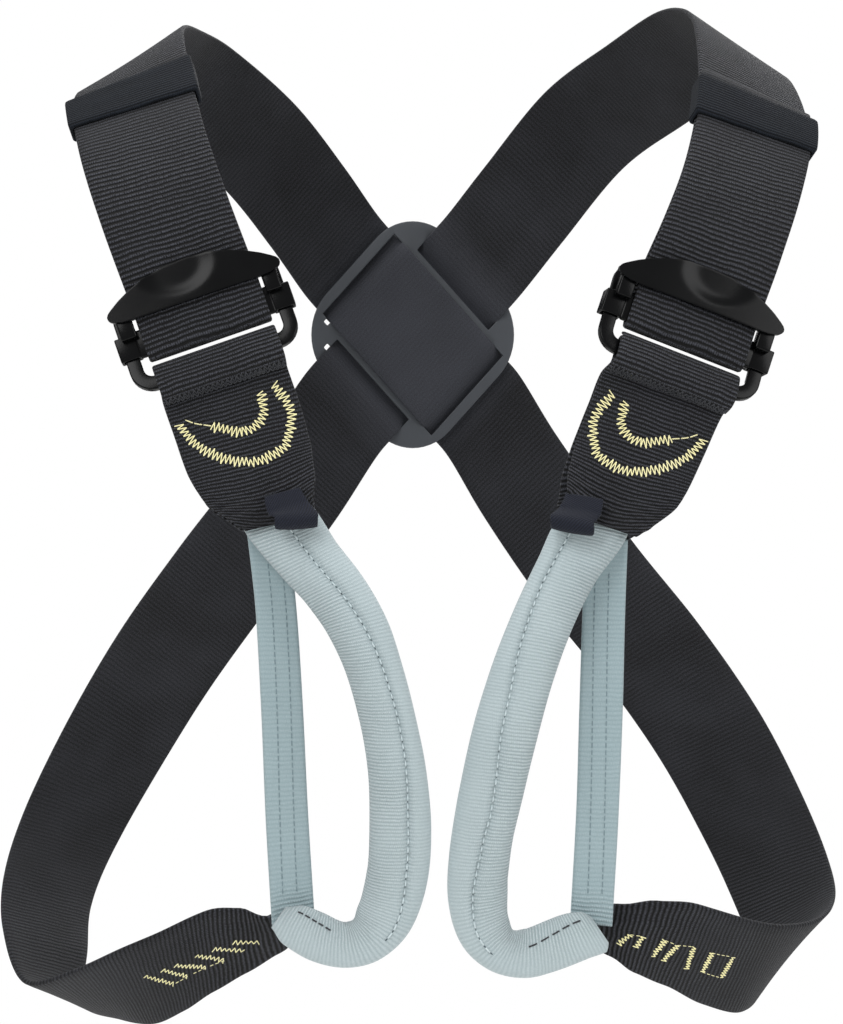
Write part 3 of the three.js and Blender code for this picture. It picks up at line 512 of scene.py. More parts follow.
def strap_relief(whole):
    depth, height = whole.centre[:, 1] / HALF_DEPTH, whole.centre[:, 2] / DROP
    relief = np.where(depth > BACK_FROM, BACK_RELIEF, SIDE_RELIEF)
    relief[(depth < FRONT_FROM) & (height > LOWER_FROM)] = FRONT_RELIEF
    relief[np.linalg.norm(whole.centre - plate_centre, axis=1) < PLATE_SPAN] = PLATE_RELIEF
    narrowed = 1 - np.clip(whole.half / (WEBBING_WIDTH / 2), 0, 1)
    relief = np.where(height < LOWER_FROM, relief + END_RELIEF * narrowed, relief)
    relief *= np.interp(whole.along(), [TAIL_PRESSED, TAIL_FREE], [PRESSED_SHARE, 1])
    even = np.ones(RELIEF_SPREAD) / RELIEF_SPREAD
    return np.convolve(np.pad(relief, RELIEF_SPREAD // 2, mode="edge"), even, "valid")


for side, runs in straps.items():
    whole = runs["whole"]
    # The doubled end presses through as a long low island, with the ribs bunched beyond it
    before = whole.along()[-1] - HEM_LENGTH - whole.along()
    island = np.clip((ISLAND_START - before) / ISLAND_RAMP, 0, 1)
    island *= np.clip((before - ISLAND_END) / ISLAND_RAMP, 0, 1)
    middle = np.abs(WEBBING_PROFILE[:, 0]) < ISLAND_SHARE
    rise = ISLAND_RISE * runs["facing"] * island[:, None] * middle[None]
    piece = ribbon(f"{side}_strap", whole, strap_relief(whole), rise)
    settle(piece, f"{side}_shoulder_strap")

# %% [markdown]
# ## Elastic keepers
# An elastic band slides over both layers of each shoulder strap and holds the loose tail.
# It is a short flat tube. Its wall is a band of sections wrapped right round the strap's
# two layers, so it takes the same curve over the collarbone.

# %% Keepers
KEEPER_LENGTH = 21 * MM
KEEPER_WALL = 1.4 * MM
KEEPER_RELIEF = 1.1
KEEPER_CORNER = 0.9 * MM
KEEPER_STEP = 1.5 * MM
KEEPER_STARTS = {"left": 91 * MM, "right": 86 * MM}
CORNER_STEPS = 5
# Shares of the wall's thickness at the band's first two sections, and its last two
OPEN_END, NEXT_TO_END = 0.62, 0.95


def rounded_ring(half_width, half_height, radius):
    ring = []
    for sx, sy, start in ((1, 1, 0), (-1, 1, 90), (-1, -1, 180), (1, -1, 270)):
        for k in range(CORNER_STEPS + 1):
            angle = math.radians(start + 90 * k / CORNER_STEPS)
            ring.append((sx * (half_width - radius) + radius * math.cos(angle),
                         sy * (half_height - radius) + radius * math.sin(angle)))
    return np.array(ring)


def keeper(side):
    runs = straps[side]
    start = KEEPER_STARTS[side]
    run = runs["main"].stretch(start, start + KEEPER_LENGTH, KEEPER_STEP)
    normals = run.normals()
    lift = runs["facing"] * (WEBBING_THICKNESS + LAYER_GAP) / 2
    inner_height = WEBBING_THICKNESS + LAYER_GAP / 2 + SEAT_GAP
    inner_width = WEBBING_WIDTH / 2 + SEAT_GAP
    count = len(run.centre)
    # The open ends are a little rounded, as folded elastic is
    ease = np.ones(count)
    ease[[0, -1]] = OPEN_END
    ease[[1, -2]] = NEXT_TO_END
    ring = rounded_ring(inner_width, inner_height, KEEPER_CORNER)
    walls = []
    for wall in (0, KEEPER_WALL):
        x, y = (ring[None, :, k] + np.sign(ring[None, :, k]) * wall * ease[:, None] for k in (0, 1))
        points = run.centre[:, None] + x[..., None] * run.across[:, None]
        points = points + (lift + y[..., None]) * normals[:, None]
        walls.append(points)
    size = walls[0].shape[1]
    verts = np.vstack([w.reshape(-1, 3) for w in walls])
    half = count * size
    faces = []
    for j in range(size):
        k = (j + 1) % size
        for i in range(count - 1):
            a, b = i * size + j, i * size + k
            faces.append((b, a, a + size, b + size))
            faces.append((half + a, half + b, half + b + size, half + a + size))
        last = (count - 1) * size
        faces.append((j, k, half + k, half + j))
        faces.append((last + k, last + j, half + last + j, half + last + k))
    around = path_lengths(walls[1][0])
    uvs = np.stack(np.broadcast_arrays(around[None], run.along()[:, None]), -1).reshape(-1, 2)
    relief = np.full(len(verts), KEEPER_RELIEF)
    piece = new_piece(f"{side}_elastic_keeper", verts, faces, np.vstack([uvs, uvs]), relief)
    return settle(piece, f"{side}_keeper")


for side in straps:
    keeper(side)

# %% [markdown]
# ## Lower webbing
# Under each buckle a short length of the same webbing hangs on the frame's lower bar. It
# comes down behind, and its front layer is sewn to the back layer under a short flap.
# Near the grey loop it is drawn together, which bunches the ribs. One ribbon follows that
# whole path, and the stitches are laid on its front layer afterwards.

# %% Lower webbing
# Columns: as before, with the half distance between layers over the webbing's thickness last
LOWER_TABLES = {
    "left": [
        (-0.52, -1.02, -0.38, 180, -18, 1, 0.7),
        (-0.49, -1.025, -0.417, 180, -16, 1, 0.75),
        (-0.464, -1.03, -0.452, 180, -16, 0.98, 1.1),
        (-0.437, -1.03, -0.482, 180, -17, 0.88, 2),
        (-0.407, -1.03, -0.508, 180, -14, 0.66, 2.8),
        (-0.387, -1.03, -0.519, 180, -14, 0.56, 2.4),
    ],
    "right": [
        (0.532, -1.02, -0.387, 3, -20, 1, 0.7),
        (0.496, -1.025, -0.421, 1, -20, 0.98, 0.75),
        (0.463, -1.03, -0.453, 0, -19, 0.96, 1.1),
        (0.431, -1.03, -0.483, 0, -19, 0.9, 2),
        (0.39, -1.03, -0.511, 0, -19, 0.7, 2.8),
        (0.372, -1.03, -0.521, 0, -19, 0.6, 2.4),
    ],
}
LOWER_STEP = 0.7 * MM
FLAP_LENGTH = 14.5 * MM
FLAP_THICKNESS = 1.3 * MM
PUCKER_START = 36 * MM
PUCKER_PITCH = 3.4 * MM
PUCKER_DEPTH = 0.65 * MM
DRAWN_BEFORE = 4 * MM
DRAWN_LENGTH = 18 * MM
RIB_BEND = 5 * MM
# Relief of the ribs where the webbing is full width, and what narrowing it adds
LOWER_RELIEF, GATHERED_RELIEF = 0.75, 1.6
FLAP_RELIEF = 1.1


def towards_front(side, run, place):
    """Whether a run's normals at that place point out to the front of its buckle, or back."""
    return np.sign(run.normals()[place] @ np.array(buckle_matrix(side).col[2][:3]))


def lower_run(side):
    table = LOWER_TABLES[side]
    matrix = buckle_matrix(side)
    tilted = matrix @ ring_tilt
    radius = FRAME_THICKNESS / 2 + SEAT_GAP + WEBBING_THICKNESS / 2
    top = FRAME_BOTTOM + FRAME_BAR + SEAT_GAP + WEBBING_THICKNESS / 2
    fold = fold_run(tilted, top - radius, radius, -1).like(aimed(table[0][3], table[0][4]))
    down = -np.array(tilted.col[1][:3]) * (FRAME_BAR + 1 * MM)
    out = np.array(matrix.col[2][:3])
    rows = np.array(table)
    plain = run_of([row[:6] + (1,) for row in table], WEBBING_WIDTH, WEBBING_THICKNESS)
    half_way = rows[:, 6:7] * WEBBING_THICKNESS * out
    front, back = plain.moved(half_way), plain.moved(-half_way)
    near, far = fold.part(0, 1).moved(down), fold.part(-1, None).moved(down)
    whole = joined_runs(front.turned(), near, fold, far, back).smooth(LOWER_STEP)
    front_side = joined_runs(near, front).smooth(LOWER_STEP)
    flap = joined_runs(fold.part(0, 6).turned(), near, front).smooth(LOWER_STEP)
    return whole, front_side, flap.stretch(0, FLAP_LENGTH, LOWER_STEP)


lower_fronts = {}
lower_flaps = {}
for side in LOWER_TABLES:
    whole, front_side, flap = lower_run(side)
    lower_fronts[side] = front_side
    narrowed = 1 - np.clip(whole.half / (WEBBING_WIDTH / 2), 0, 1)
    end = front_side.along()[-1]
    along = whole.along()
    from_end = np.minimum(along, along[-1] - along)
    drawn = np.clip((end - PUCKER_START - from_end + DRAWN_BEFORE) / DRAWN_LENGTH, 0, 1)
    # Each pucker leans and swells in its own way across the width
    across = WEBBING_PROFILE[:, 0]
    lean = 0.8 * np.sin(2.3 * across) + 0.5 * across
    swell_by = 0.7 + 0.3 * np.cos(5 * across + 1)
    turns = 2 * math.pi * from_end[:, None] / PUCKER_PITCH + 3 * lean[None]
    puckers = PUCKER_DEPTH * drawn[:, None] * swell_by[None] * np.sin(turns)
    # Drawn together at the bottom, the ribs bend up towards both edges
    bend = RIB_BEND * drawn[:, None] * across[None] ** 2
    relief = LOWER_RELIEF + GATHERED_RELIEF * narrowed
    piece = ribbon(f"{side}_lower_strap", whole, relief, puckers, bend)
    settle(piece, f"{side}_lower_webbing")
    # The loose end of the fold is a second layer on the front, sewn down below the bar
    lift = towards_front(side, flap, -1) * (WEBBING_THICKNESS + FLAP_THICKNESS) / 2
    thin = np.full(len(flap.half), FLAP_THICKNESS)
    flap = Run(flap.centre + lift * flap.normals(), flap.across, flap.half, thin)
    lower_flaps[side] = flap
    settle(ribbon(f"{side}_webbing_end", flap, FLAP_RELIEF), None)

# %% [markdown]
# ## Grey tie-in loops
# Each loop is a grey webbing ring. On its inner side a ribbed tube is drawn over it and
# sewn down along the middle, so it swells on both sides of the seam. On its outer side the
# webbing is bare and flat. The tube is a rounded sleeve with a shallow groove at the seam,
# and the bare side is a narrow ribbon.

# %% Padded sides
PAD_WIDTH = 22 * MM
PAD_THICKNESS = 12 * MM
# Columns: as for the straps, width and thickness being shares of the pad's own
PAD_TABLES = {
    "left": [
        (-0.425, -1.03, -0.487, 0, 14, 0.9, 0.5),
        (-0.39, -1.03, -0.515, 0, 16, 1.18, 0.58),
        (-0.318, -1.04, -0.556, 0, 27, 1.04, 0.85),
        (-0.26, -1.05, -0.585, 0, 25, 0.99, 0.95),
        (-0.205, -1.06, -0.622, 0, 15, 0.96, 1),
        (-0.165, -1.06, -0.665, 0, 5, 0.91, 1),
        (-0.132, -1.05, -0.717, 0, 0, 0.91, 1),
        (-0.11, -1.04, -0.768, 0, 0, 0.94, 1),
        (-0.101, -1.02, -0.828, 0, 0, 0.99, 1),
        (-0.108, -0.99, -0.878, 0, -5, 0.98, 1),
        (-0.136, -0.97, -0.918, 0, -22, 0.92, 0.95),
        (-0.178, -0.96, -0.941, 0, -52, 0.76, 0.9),
        (-0.234, -0.955, -0.947, 0, -88, 0.72, 0.85),
        (-0.298, -0.95, -0.939, 180, -76, 0.78, 0.78),
        (-0.355, -0.945, -0.927, 180, -62, 0.7, 0.68),
        (-0.393, -0.94, -0.919, 180, -55, 0.4, 0.4),
    ],
    "right": [
        (0.4, -1.03, -0.495, 180, 10, 0.9, 0.5),
        (0.356, -1.03, -0.528, 180, 14, 1.16, 0.58),
        (0.3, -1.04, -0.567, 180, 20, 1, 0.85),
        (0.247, -1.05, -0.612, 180, 14, 1, 0.95),
        (0.194, -1.06, -0.668, 180, 10, 1.02, 1),
        (0.15, -1.06, -0.73, 180, 8, 1.04, 1),
        (0.119, -1.04, -0.789, 180, 6, 1.02, 1),
        (0.095, -1.01, -0.845, 180, 3, 0.98, 1),
        (0.088, -0.98, -0.895, 180, -6, 0.96, 1),
        (0.104, -0.965, -0.932, 180, -25, 0.86, 0.95),
        (0.145, -0.955, -0.953, 180, -56, 0.74, 0.9),
        (0.208, -0.95, -0.957, 180, -90, 0.78, 0.85),
        (0.266, -0.945, -0.95, 0, -82, 0.82, 0.78),
        (0.333, -0.94, -0.94, 0, -64, 0.8, 0.68),
        (0.374, -0.935, -0.936, 0, -58, 0.76, 0.5),
        (0.388, -0.935, -0.934, 0, -56, 0.5, 0.3),
    ],
}
PAD_STEP = 1 * MM
PAD_SIDES = 80
SIDE_ROUNDING = 0.92
FACE_ROUNDING = 0.72
SEAM_DEPTH = 2.3 * MM
SEAM_HALF_WIDTH = 0.12
STITCH_PITCH = 3 * MM
# The seam starts below the black webbing and fades out where the tube turns the corner
SEAM_FROM, SEAM_FADE_IN = 14 * MM, 8 * MM
SEAM_BEFORE_END, SEAM_FADE_OUT = 44 * MM, 10 * MM
# Share of the groove's depth at the needle holes, and how far it varies between them
GROOVE_MEAN, GROOVE_SWING = 0.78, 0.22
HELD_SHARE = 0.6
HELD_DEPTH = 0.2 * MM
HELD_ROWS = 4
# Columns: distance from the top in mm, and the seam's place over the pad's half width
SEAM_PLACES = {
    "left": [(0, 0.1), (38, 0.08), (55, 0.17), (70, 0.3), (90, 0.37), (105, 0.33), (125, 0.24),
             (145, 0.25), (165, 0.45), (210, 0.5)],
    "right": [(0, 0.5), (20, 0.5), (35, 0.55), (45, 0.5), (60, 0.39), (75, 0.22), (90, 0.14),
              (105, -0.02), (118, -0.08), (135, 0.05), (148, 0.2), (160, 0.3), (210, 0.35)],
}


def seam_at(side, along):
    rows = np.array(SEAM_PLACES[side])
    return np.interp(along, rows[:, 0] * MM, rows[:, 1])


def seam_pull(length, along):
    fade = np.clip((along - SEAM_FROM) / SEAM_FADE_IN, 0, 1)
    fade *= np.clip((length - SEAM_BEFORE_END - along) / SEAM_FADE_OUT, 0, 1)
    swing = GROOVE_SWING * np.cos(2 * math.pi * along / STITCH_PITCH)
    return SEAM_DEPTH * fade * (GROOVE_MEAN + swing)


def pad_loop(side):
    run = run_of(PAD_TABLES[side], PAD_WIDTH, PAD_THICKNESS).smooth(PAD_STEP)
    normals, along = run.normals(), run.along()
    angles = np.linspace(0, 2 * math.pi, PAD_SIDES, endpoint=False)
    x = np.sign(np.cos(angles)) * np.abs(np.cos(angles)) ** SIDE_ROUNDING
    y = np.sign(np.sin(angles)) * np.abs(np.sin(angles)) ** FACE_ROUNDING
    off_seam = (x[None] - seam_at(side, along)[:, None]) / SEAM_HALF_WIDTH
    groove = seam_pull(along[-1], along)[:, None] * np.exp(-(off_seam**2)) * np.sign(y)
    height = y[None] * run.thick[:, None] / 2 - groove
    rings = run.centre[:, None] + (x[None] * run.half[:, None])[..., None] * run.across[:, None]
    rings = rings + height[..., None] * normals[:, None]
    verts, faces = lofted(rings)
    around = path_lengths(np.column_stack([x, y])) * PAD_WIDTH / 2
    uvs = np.stack(np.broadcast_arrays(around[None], along[:, None]), -1).reshape(-1, 2)
    # The ribs stand up on the inner edge, where the tube is bent short
    relief = np.broadcast_to(0.8 - 0.5 * x, rings.shape[:2]).ravel()
    piece = new_piece(f"{side}_padded_tube", verts, faces, uvs, relief)
    ends = np.zeros(len(run.centre), bool)
    ends[:HELD_ROWS] = ends[-HELD_ROWS:] = True
    held = (np.abs(off_seam) < HELD_SHARE) & (np.abs(groove) > HELD_DEPTH) | ends[:, None]
    return piece, run, held.ravel()


pads = {side: pad_loop(side) for side in PAD_TABLES}

# %% [markdown]
# ## Stuffing the pads
# Stuffing pushes the cloth out between the seam and the edges. Blender's cloth simulation
# does the same with air pressure. The tube's own mesh is used, so its UV map stays. The
# seam line and both ends are held and the rest swells for some frames. No point may move
# further than a small limit, which keeps the tube clear of what is beside it.

# %% Swell the pads
STUFFING_PRESSURE = 45.0
CLOTH_QUALITY = 4
STUFFING_FRAMES = 20
CLOTH_MASS = 0.06
SWELL_LIMIT = 0.7 * MM


def places_of(mesh):
    places = np.empty(3 * len(mesh.vertices), np.float32)
    mesh.vertices.foreach_get("co", places)
    return places.reshape(-1, 3)


def stuff(pieces):
    for piece, _, held in pieces:
        group = piece.vertex_groups.new(name="held")
        group.add(np.nonzero(held)[0].tolist(), 1.0, "REPLACE")
        cloth = piece.modifiers.new("stuffing", "CLOTH")
        cloth.settings.quality = CLOTH_QUALITY
        cloth.settings.mass = CLOTH_MASS
        cloth.settings.use_pressure = True
        cloth.settings.uniform_pressure_force = STUFFING_PRESSURE
        cloth.settings.vertex_group_mass = "held"
        cloth.settings.effector_weights.gravity = 0
        cloth.collision_settings.use_collision = False
        cloth.point_cache.frame_end = STUFFING_FRAMES
    for frame_number in range(1, STUFFING_FRAMES + 1):
        bpy.context.scene.frame_set(frame_number)
    graph = bpy.context.evaluated_depsgraph_get()
    for piece, _, _ in pieces:
        start = places_of(piece.data)
        move = places_of(piece.evaluated_get(graph).data) - start
        far = np.linalg.norm(move, axis=1)
        capped = move * np.minimum(1, SWELL_LIMIT / np.maximum(far, 1e-9))[:, None]
        most, middle = (round(float(value) / MM, 3) for value in (far.max(), np.median(far)))
        print(piece.name, "swell before the limit, in mm: most", most, "median", middle)
        piece.modifiers.remove(piece.modifiers["stuffing"])
        piece.data.vertices.foreach_set("co", (start + capped).ravel())
        piece.data.update()
    bpy.context.scene.frame_set(1)


stuff(list(pads.values()))
for side, (piece, _, _) in pads.items():
    piece.vertex_groups.clear()
    settle(piece, f"{side}_padded_loop")

# %% Flat sides
FLAT_WIDTH = 16 * MM
FLAT_THICKNESS = 3 * MM
FLAT_STEP = 1.5 * MM
# Relief of the ribs on the straight part, and what the last bend adds to it
FLAT_RELIEF, FLAT_END_RELIEF = 0.35, 1.3
FLAT_BEND = 14 * MM
FLAT_TABLES = {
    "left": [
        (-0.42, -0.972, -0.525, 180, 0, 0.9, 1),
        (-0.4, -0.95, -0.6, 185, 0, 0.9, 1),
        (-0.385, -0.94, -0.7, 190, 0, 0.92, 1),
        (-0.372, -0.91, -0.82, 188, -3, 0.94, 1),
        (-0.357, -0.885, -0.925, 180, -12, 0.96, 1),
    ],
    "right": [
        (0.402, -0.972, -0.535, 0, 0, 0.92, 1),
        (0.396, -0.95, -0.61, 355, 0, 0.94, 1),
        (0.39, -0.94, -0.71, 350, 0, 0.96, 1),
        (0.383, -0.91, -0.82, 352, 0, 0.94, 1),
        (0.37, -0.885, -0.93, 0, -6, 0.94, 1),
    ],
}
flats = {}
for side, table in FLAT_TABLES.items():
    run = run_of(table, FLAT_WIDTH, FLAT_THICKNESS).smooth(FLAT_STEP)
    flats[side] = run
    from_end = run.along()[-1] - run.along()
    relief = FLAT_RELIEF + FLAT_END_RELIEF * np.clip(1 - from_end / FLAT_BEND, 0, 1)
    settle(ribbon(f"{side}_flat_side", run, relief), f"{side}_flat_loop_strap")

# %% [markdown]
# ## Small tape loops
# At the top of each grey loop a short length of navy tape is rolled up and sewn down. Its
# section is a spiral that tightens inwards, and its loose end stands up behind the roll.

# %% Tape loops
TAPE_WIDTH = 15.5 * MM
TAPE_STEP = 0.6 * MM
TAPE_THICKNESS = 1.1 * MM
TAPE_ROLL = 3.0 * MM
TAPE_TURNS = 1.45
TAPE_TIGHTENING = 0.45
TAPE_FIRST_TURN, TAPE_TURN_STEP = 0.12, 0.08
# The roll is soft: its two edges sag, and those of the end above it a little less
ROLL_SAG, END_SAG, END_SECTIONS = 0.5 * MM, 0.2 * MM, 8
# Columns: across, depth, height, turn and rise of the roll, and rise of the end above it
TAPE_PLACES = {
    "left": (-0.35, -1.135, -0.516, 14, 3, 15),
    "right": (0.305, -1.135, -0.52, -14, -10, -9),
}
# Columns: across, depth and height in mm of the tape's end above the roll, from the roll's middle
TAPE_TAIL = [(-4.8, 4.0, 9.8), (-4.2, 2.6, 7.6), (-2.8, 0.9, 4.8)]
for side, (across, depth, height, turn, rise, end_rise) in TAPE_PLACES.items():
    centre = np.array([across * HALF_BREADTH, depth * HALF_DEPTH, height * DROP])
    inward = 1 if side == "left" else -1
    angles = np.arange(TAPE_FIRST_TURN, TAPE_TURNS, TAPE_TURN_STEP) * 2 * math.pi
    radius = TAPE_ROLL * (1 - TAPE_TIGHTENING * angles / angles[-1])
    roll = np.column_stack([0 * angles, -radius * np.sin(angles), radius * np.cos(angles)])
    tail = np.array(TAPE_TAIL) * MM * [inward, 1, 1]
    points = centre + np.vstack([tail, roll])
    count = len(points)
    narrowing = np.concatenate([[0.86, 0.9, 0.96], np.linspace(1, 0.9, count - 3)])
    width = np.tile(aimed(turn, rise), (count, 1))
    width[:3] = aimed(turn, end_rise)
    run = Run(points, width, narrowing * TAPE_WIDTH / 2, np.full(count, TAPE_THICKNESS))
    run = run.smooth(TAPE_STEP)
    sag = np.where(np.arange(len(run.centre)) > END_SECTIONS, ROLL_SAG, END_SAG)
    sagging = -sag[:, None] * WEBBING_PROFILE[None, :, 0] ** 2
    settle(ribbon(f"{side}_rolled_tape", run, 1.0, sagging), f"{side}_tape_loop")

# %% [markdown]
# ## Buckles
# Each buckle is two steel pieces. A flat ring carries the lower webbing, and a slide rides
# on the ring's two arms: a middle bar for the strap, a collar round each arm, and a thumb
# plate above them. The ring is one plane with rounded corners, inset to make the opening
# and extruded. The slide is a bar, two collars and two necks, all from boxes, and a grid
# that is bent to the thumb plate's arch.

# %% Helpers for edit mode
def start_piece(name):
    piece = bpy.context.active_object
    piece.name = piece.data.name = name
    bpy.ops.object.transform_apply(location=True, rotation=True, scale=True)
    bpy.ops.object.mode_set(mode="EDIT")
    return piece


def pick_faces(piece, test):
    bpy.ops.mesh.select_mode(type="FACE")
    bpy.ops.mesh.select_all(action="DESELECT")
    sheet = bmesh.from_edit_mesh(piece.data)
    for face in sheet.faces:
        face.select_set(bool(test(face)))
    bmesh.update_edit_mesh(piece.data)


def finish_edges(piece, width, segments=3):
    """Rounds every sharp edge, as stamping and tumbling do, and closes the work on a piece."""
    bpy.ops.object.mode_set(mode="OBJECT")
    rounding = piece.modifiers.new("rounding", "BEVEL")
    rounding.width = width
    rounding.segments = segments
    rounding.limit_method = "ANGLE"
    rounding.angle_limit = math.radians(35)
    bpy.ops.object.modifier_apply(modifier=rounding.name)
    bpy.ops.object.shade_smooth_by_angle(angle=math.radians(40))


def box_piece(name, low, high):
    bpy.ops.object.select_all(action="DESELECT")
    middle = [(a + b) / 2 for a, b in zip(low, high)]
    sides = [b - a for a, b in zip(low, high)]
    bpy.ops.mesh.primitive_cube_add(size=1, location=middle, scale=sides)
    return start_piece(name)


# %% Frame ring
FRAME_HALF_WIDTH = 30.5 * MM
FRAME_CORNER = 8 * MM
RING_BEVEL = 0.55 * MM


def frame_ring(side):
    bpy.ops.object.select_all(action="DESELECT")
    height = FRAME_TOP - FRAME_BOTTOM
    middle = (0, (FRAME_TOP + FRAME_BOTTOM) / 2, -FRAME_THICKNESS / 2)
    bpy.ops.mesh.primitive_plane_add(size=1, location=middle)
    bpy.context.active_object.scale = (2 * FRAME_HALF_WIDTH, height, 1)
    piece = start_piece(f"{side}_frame_ring")
    bpy.ops.mesh.bevel(offset=FRAME_CORNER, segments=8, affect="VERTICES")
    bpy.ops.mesh.inset(thickness=FRAME_BAR)
    bpy.ops.mesh.delete(type="FACE")
    bpy.ops.mesh.select_all(action="SELECT")
    bpy.ops.mesh.extrude_region_move(TRANSFORM_OT_translate={"value": (0, 0, FRAME_THICKNESS)})
    bpy.ops.mesh.select_all(action="SELECT")
    bpy.ops.mesh.normals_make_consistent(inside=False)
    finish_edges(piece, RING_BEVEL)
    piece.data.transform(buckle_matrix(side) @ ring_tilt)
    return settle(piece, f"{side}_buckle_frame")


for side in BUCKLE_PLACES:
    frame_ring(side)

# %% Slide with its thumb plate
BAR_HALF_LENGTH = 25 * MM
COLLAR_INNER = 24.3 * MM
COLLAR_OUTER = 32.0 * MM
COLLAR_HEIGHT = 8.6 * MM
COLLAR_DEPTH = 7.0 * MM
COLLAR_WALL = 1.0 * MM
COLLAR_BEVEL = 0.8 * MM
NECK_INNER = 23.7 * MM
NECK_OUTER = 29.4 * MM
NECK_BACK = -1.4 * MM
NECK_OVERLAP = 2 * MM
NECK_INTO_LEVER = 3 * MM
NECK_BEVEL = 0.7 * MM
BAR_BEVEL = 1 * MM
LEVER_BACK = 4.25 * MM
LEVER_THICKNESS = 2.2 * MM
LEVER_HALF_WIDTH = 31.5 * MM
LEVER_COLUMNS = 60
LEVER_ROWS = 18
LEVER_BEVEL = 0.5 * MM
# Columns: across in mm from the middle, height in mm of the thumb plate's arched top edge
LEVER_ARCH = [(0, 22.6), (8, 22.2), (15, 20.6), (21, 18.4), (26, 15.9), (29.6, 13.6), (30.9, 12.6),
              (31.5, 11.6)]
# Columns: across in mm, height in mm of its lower edge, which turns up to the two tips
LEVER_FOOT = [(0, 8), (23.5, 8), (27, 8.3), (30, 9.2), (31, 9.9), (31.5, 10.8)]
DISH_MIDDLE = (-3.5 * MM, 21 * MM)
DISH_HALF_SIZE = (14.5 * MM, 11 * MM)
DISH_DEPTH = 1.0 * MM
TIP_FALL = 1.0 * MM


def thumb_plate(side):
    bpy.ops.object.select_all(action="DESELECT")
    bpy.ops.mesh.primitive_grid_add(x_subdivisions=LEVER_COLUMNS, y_subdivisions=LEVER_ROWS, size=2)
    piece = start_piece(f"{side}_thumb_plate")
    arch, foot = np.array(LEVER_ARCH) * MM, np.array(LEVER_FOOT) * MM
    mirror = 1 if side == "left" else -1
    sheet = bmesh.from_edit_mesh(piece.data)
    for vert in sheet.verts:
        across = math.sin(vert.co.x * math.pi / 2) * LEVER_HALF_WIDTH
        top = np.interp(abs(across), arch[:, 0], arch[:, 1])
        bottom = np.interp(abs(across), foot[:, 0], foot[:, 1])
        height = bottom + (top - bottom) * (vert.co.y + 1) / 2
        # The thumb's dish is pressed in from the front
        reach = ((across * mirror - DISH_MIDDLE[0]) / DISH_HALF_SIZE[0]) ** 2
        reach += ((height - DISH_MIDDLE[1]) / DISH_HALF_SIZE[1]) ** 2
        inside = min(1, max(0, 1 - reach) * 1.3)
        pressed = DISH_DEPTH * inside * inside * (3 - 2 * inside)
        bent = TIP_FALL * (across / LEVER_HALF_WIDTH) ** 2
        vert.co = (across, height, LEVER_BACK - pressed - bent)
    bmesh.update_edit_mesh(piece.data)
    bpy.ops.mesh.select_all(action="SELECT")
    bpy.ops.mesh.extrude_region_move(TRANSFORM_OT_translate={"value": (0, 0, LEVER_THICKNESS)})
    bpy.ops.mesh.select_all(action="SELECT")
    bpy.ops.mesh.normals_make_consistent(inside=False)
    finish_edges(piece, LEVER_BEVEL)
    return piece


def collar(side, sign):
    """A sleeve that is open above and below, where the frame's arm runs through it."""
    near, far = sorted((sign * COLLAR_INNER, sign * COLLAR_OUTER))
    back = -FRAME_SET_BACK - COLLAR_DEPTH / 2
    half = COLLAR_HEIGHT / 2
    piece = box_piece(f"{side}_collar", (near, -half, back), (far, half, back + COLLAR_DEPTH))
    pick_faces(piece, lambda face: abs(face.normal.y) > 0.9)
    bpy.ops.mesh.inset(thickness=COLLAR_WALL, use_individual=True)
    bpy.ops.mesh.bridge_edge_loops()
    finish_edges(piece, COLLAR_BEVEL, 4)
    return piece


def slide(side):
    flat = BAR_THICKNESS / 2
    bar = box_piece(f"{side}_middle_bar", (-BAR_HALF_LENGTH, -BAR_HEIGHT / 2, -flat),
                    (BAR_HALF_LENGTH, BAR_HEIGHT / 2, flat))
    finish_edges(bar, BAR_BEVEL, 4)
    pieces = [bar, thumb_plate(side)]
    for sign in (-1, 1):
        pieces.append(collar(side, sign))
        near, far = sorted((sign * NECK_INNER, sign * NECK_OUTER))
        neck = box_piece("neck", (near, COLLAR_HEIGHT / 2 - NECK_OVERLAP, NECK_BACK),
                         (far, LEVER_BOTTOM + NECK_INTO_LEVER, LEVER_BACK))
        finish_edges(neck, NECK_BEVEL)
        pieces.append(neck)
    bpy.ops.object.select_all(action="DESELECT")
    for piece in pieces:
        piece.select_set(True)
    bpy.context.view_layer.objects.active = pieces[0]
    bpy.ops.object.join()
    whole = bpy.context.active_object
    whole.name = whole.data.name = f"{side}_slide"
    whole.data.transform(buckle_matrix(side))
    return settle(whole, f"{side}_buckle_slide")


for side in BUCKLE_PLACES:
    slide(side)

# %% [markdown]
# ## Back plate
# The plate is moulded in one piece. It starts as a slab with rounded corners. Four slots are
# cut through it and every edge is rounded, because the webbing would fray on a sharp one.
# The slab is then skewed a little, since the two straps don't cross squarely.

# %% Plate with four slots
PLATE_BEVEL = 0.9 * MM
SLOT_PRESS = 0.1 * MM
SLOT_HALF_LENGTH = WEBBING_WIDTH / 2 - SLOT_PRESS
SLOT_OUTER = SLOT_INNER + SLOT_WIDTH
NOTCH_NEAR = SLOT_INNER + 4.2 * MM
NOTCH_FAR = SLOT_INNER + 6.5 * MM
NOTCH_END = SLOT_HALF_LENGTH + 1.9 * MM
NOTCH_START = SLOT_HALF_LENGTH - 1 * MM
# Columns: quarter turns, then the cut's near, far, low and high sides. Two slots have a
# small notch at one end, on the same lobe, where daylight shows beside the webbing.
PLATE_CUTS = [
    *((turn, SLOT_INNER, SLOT_OUTER, -SLOT_HALF_LENGTH, SLOT_HALF_LENGTH) for turn in range(4)),
    (1, NOTCH_NEAR, NOTCH_FAR, NOTCH_START, NOTCH_END),
    (2, NOTCH_NEAR, NOTCH_FAR, -NOTCH_END, -NOTCH_START),
]


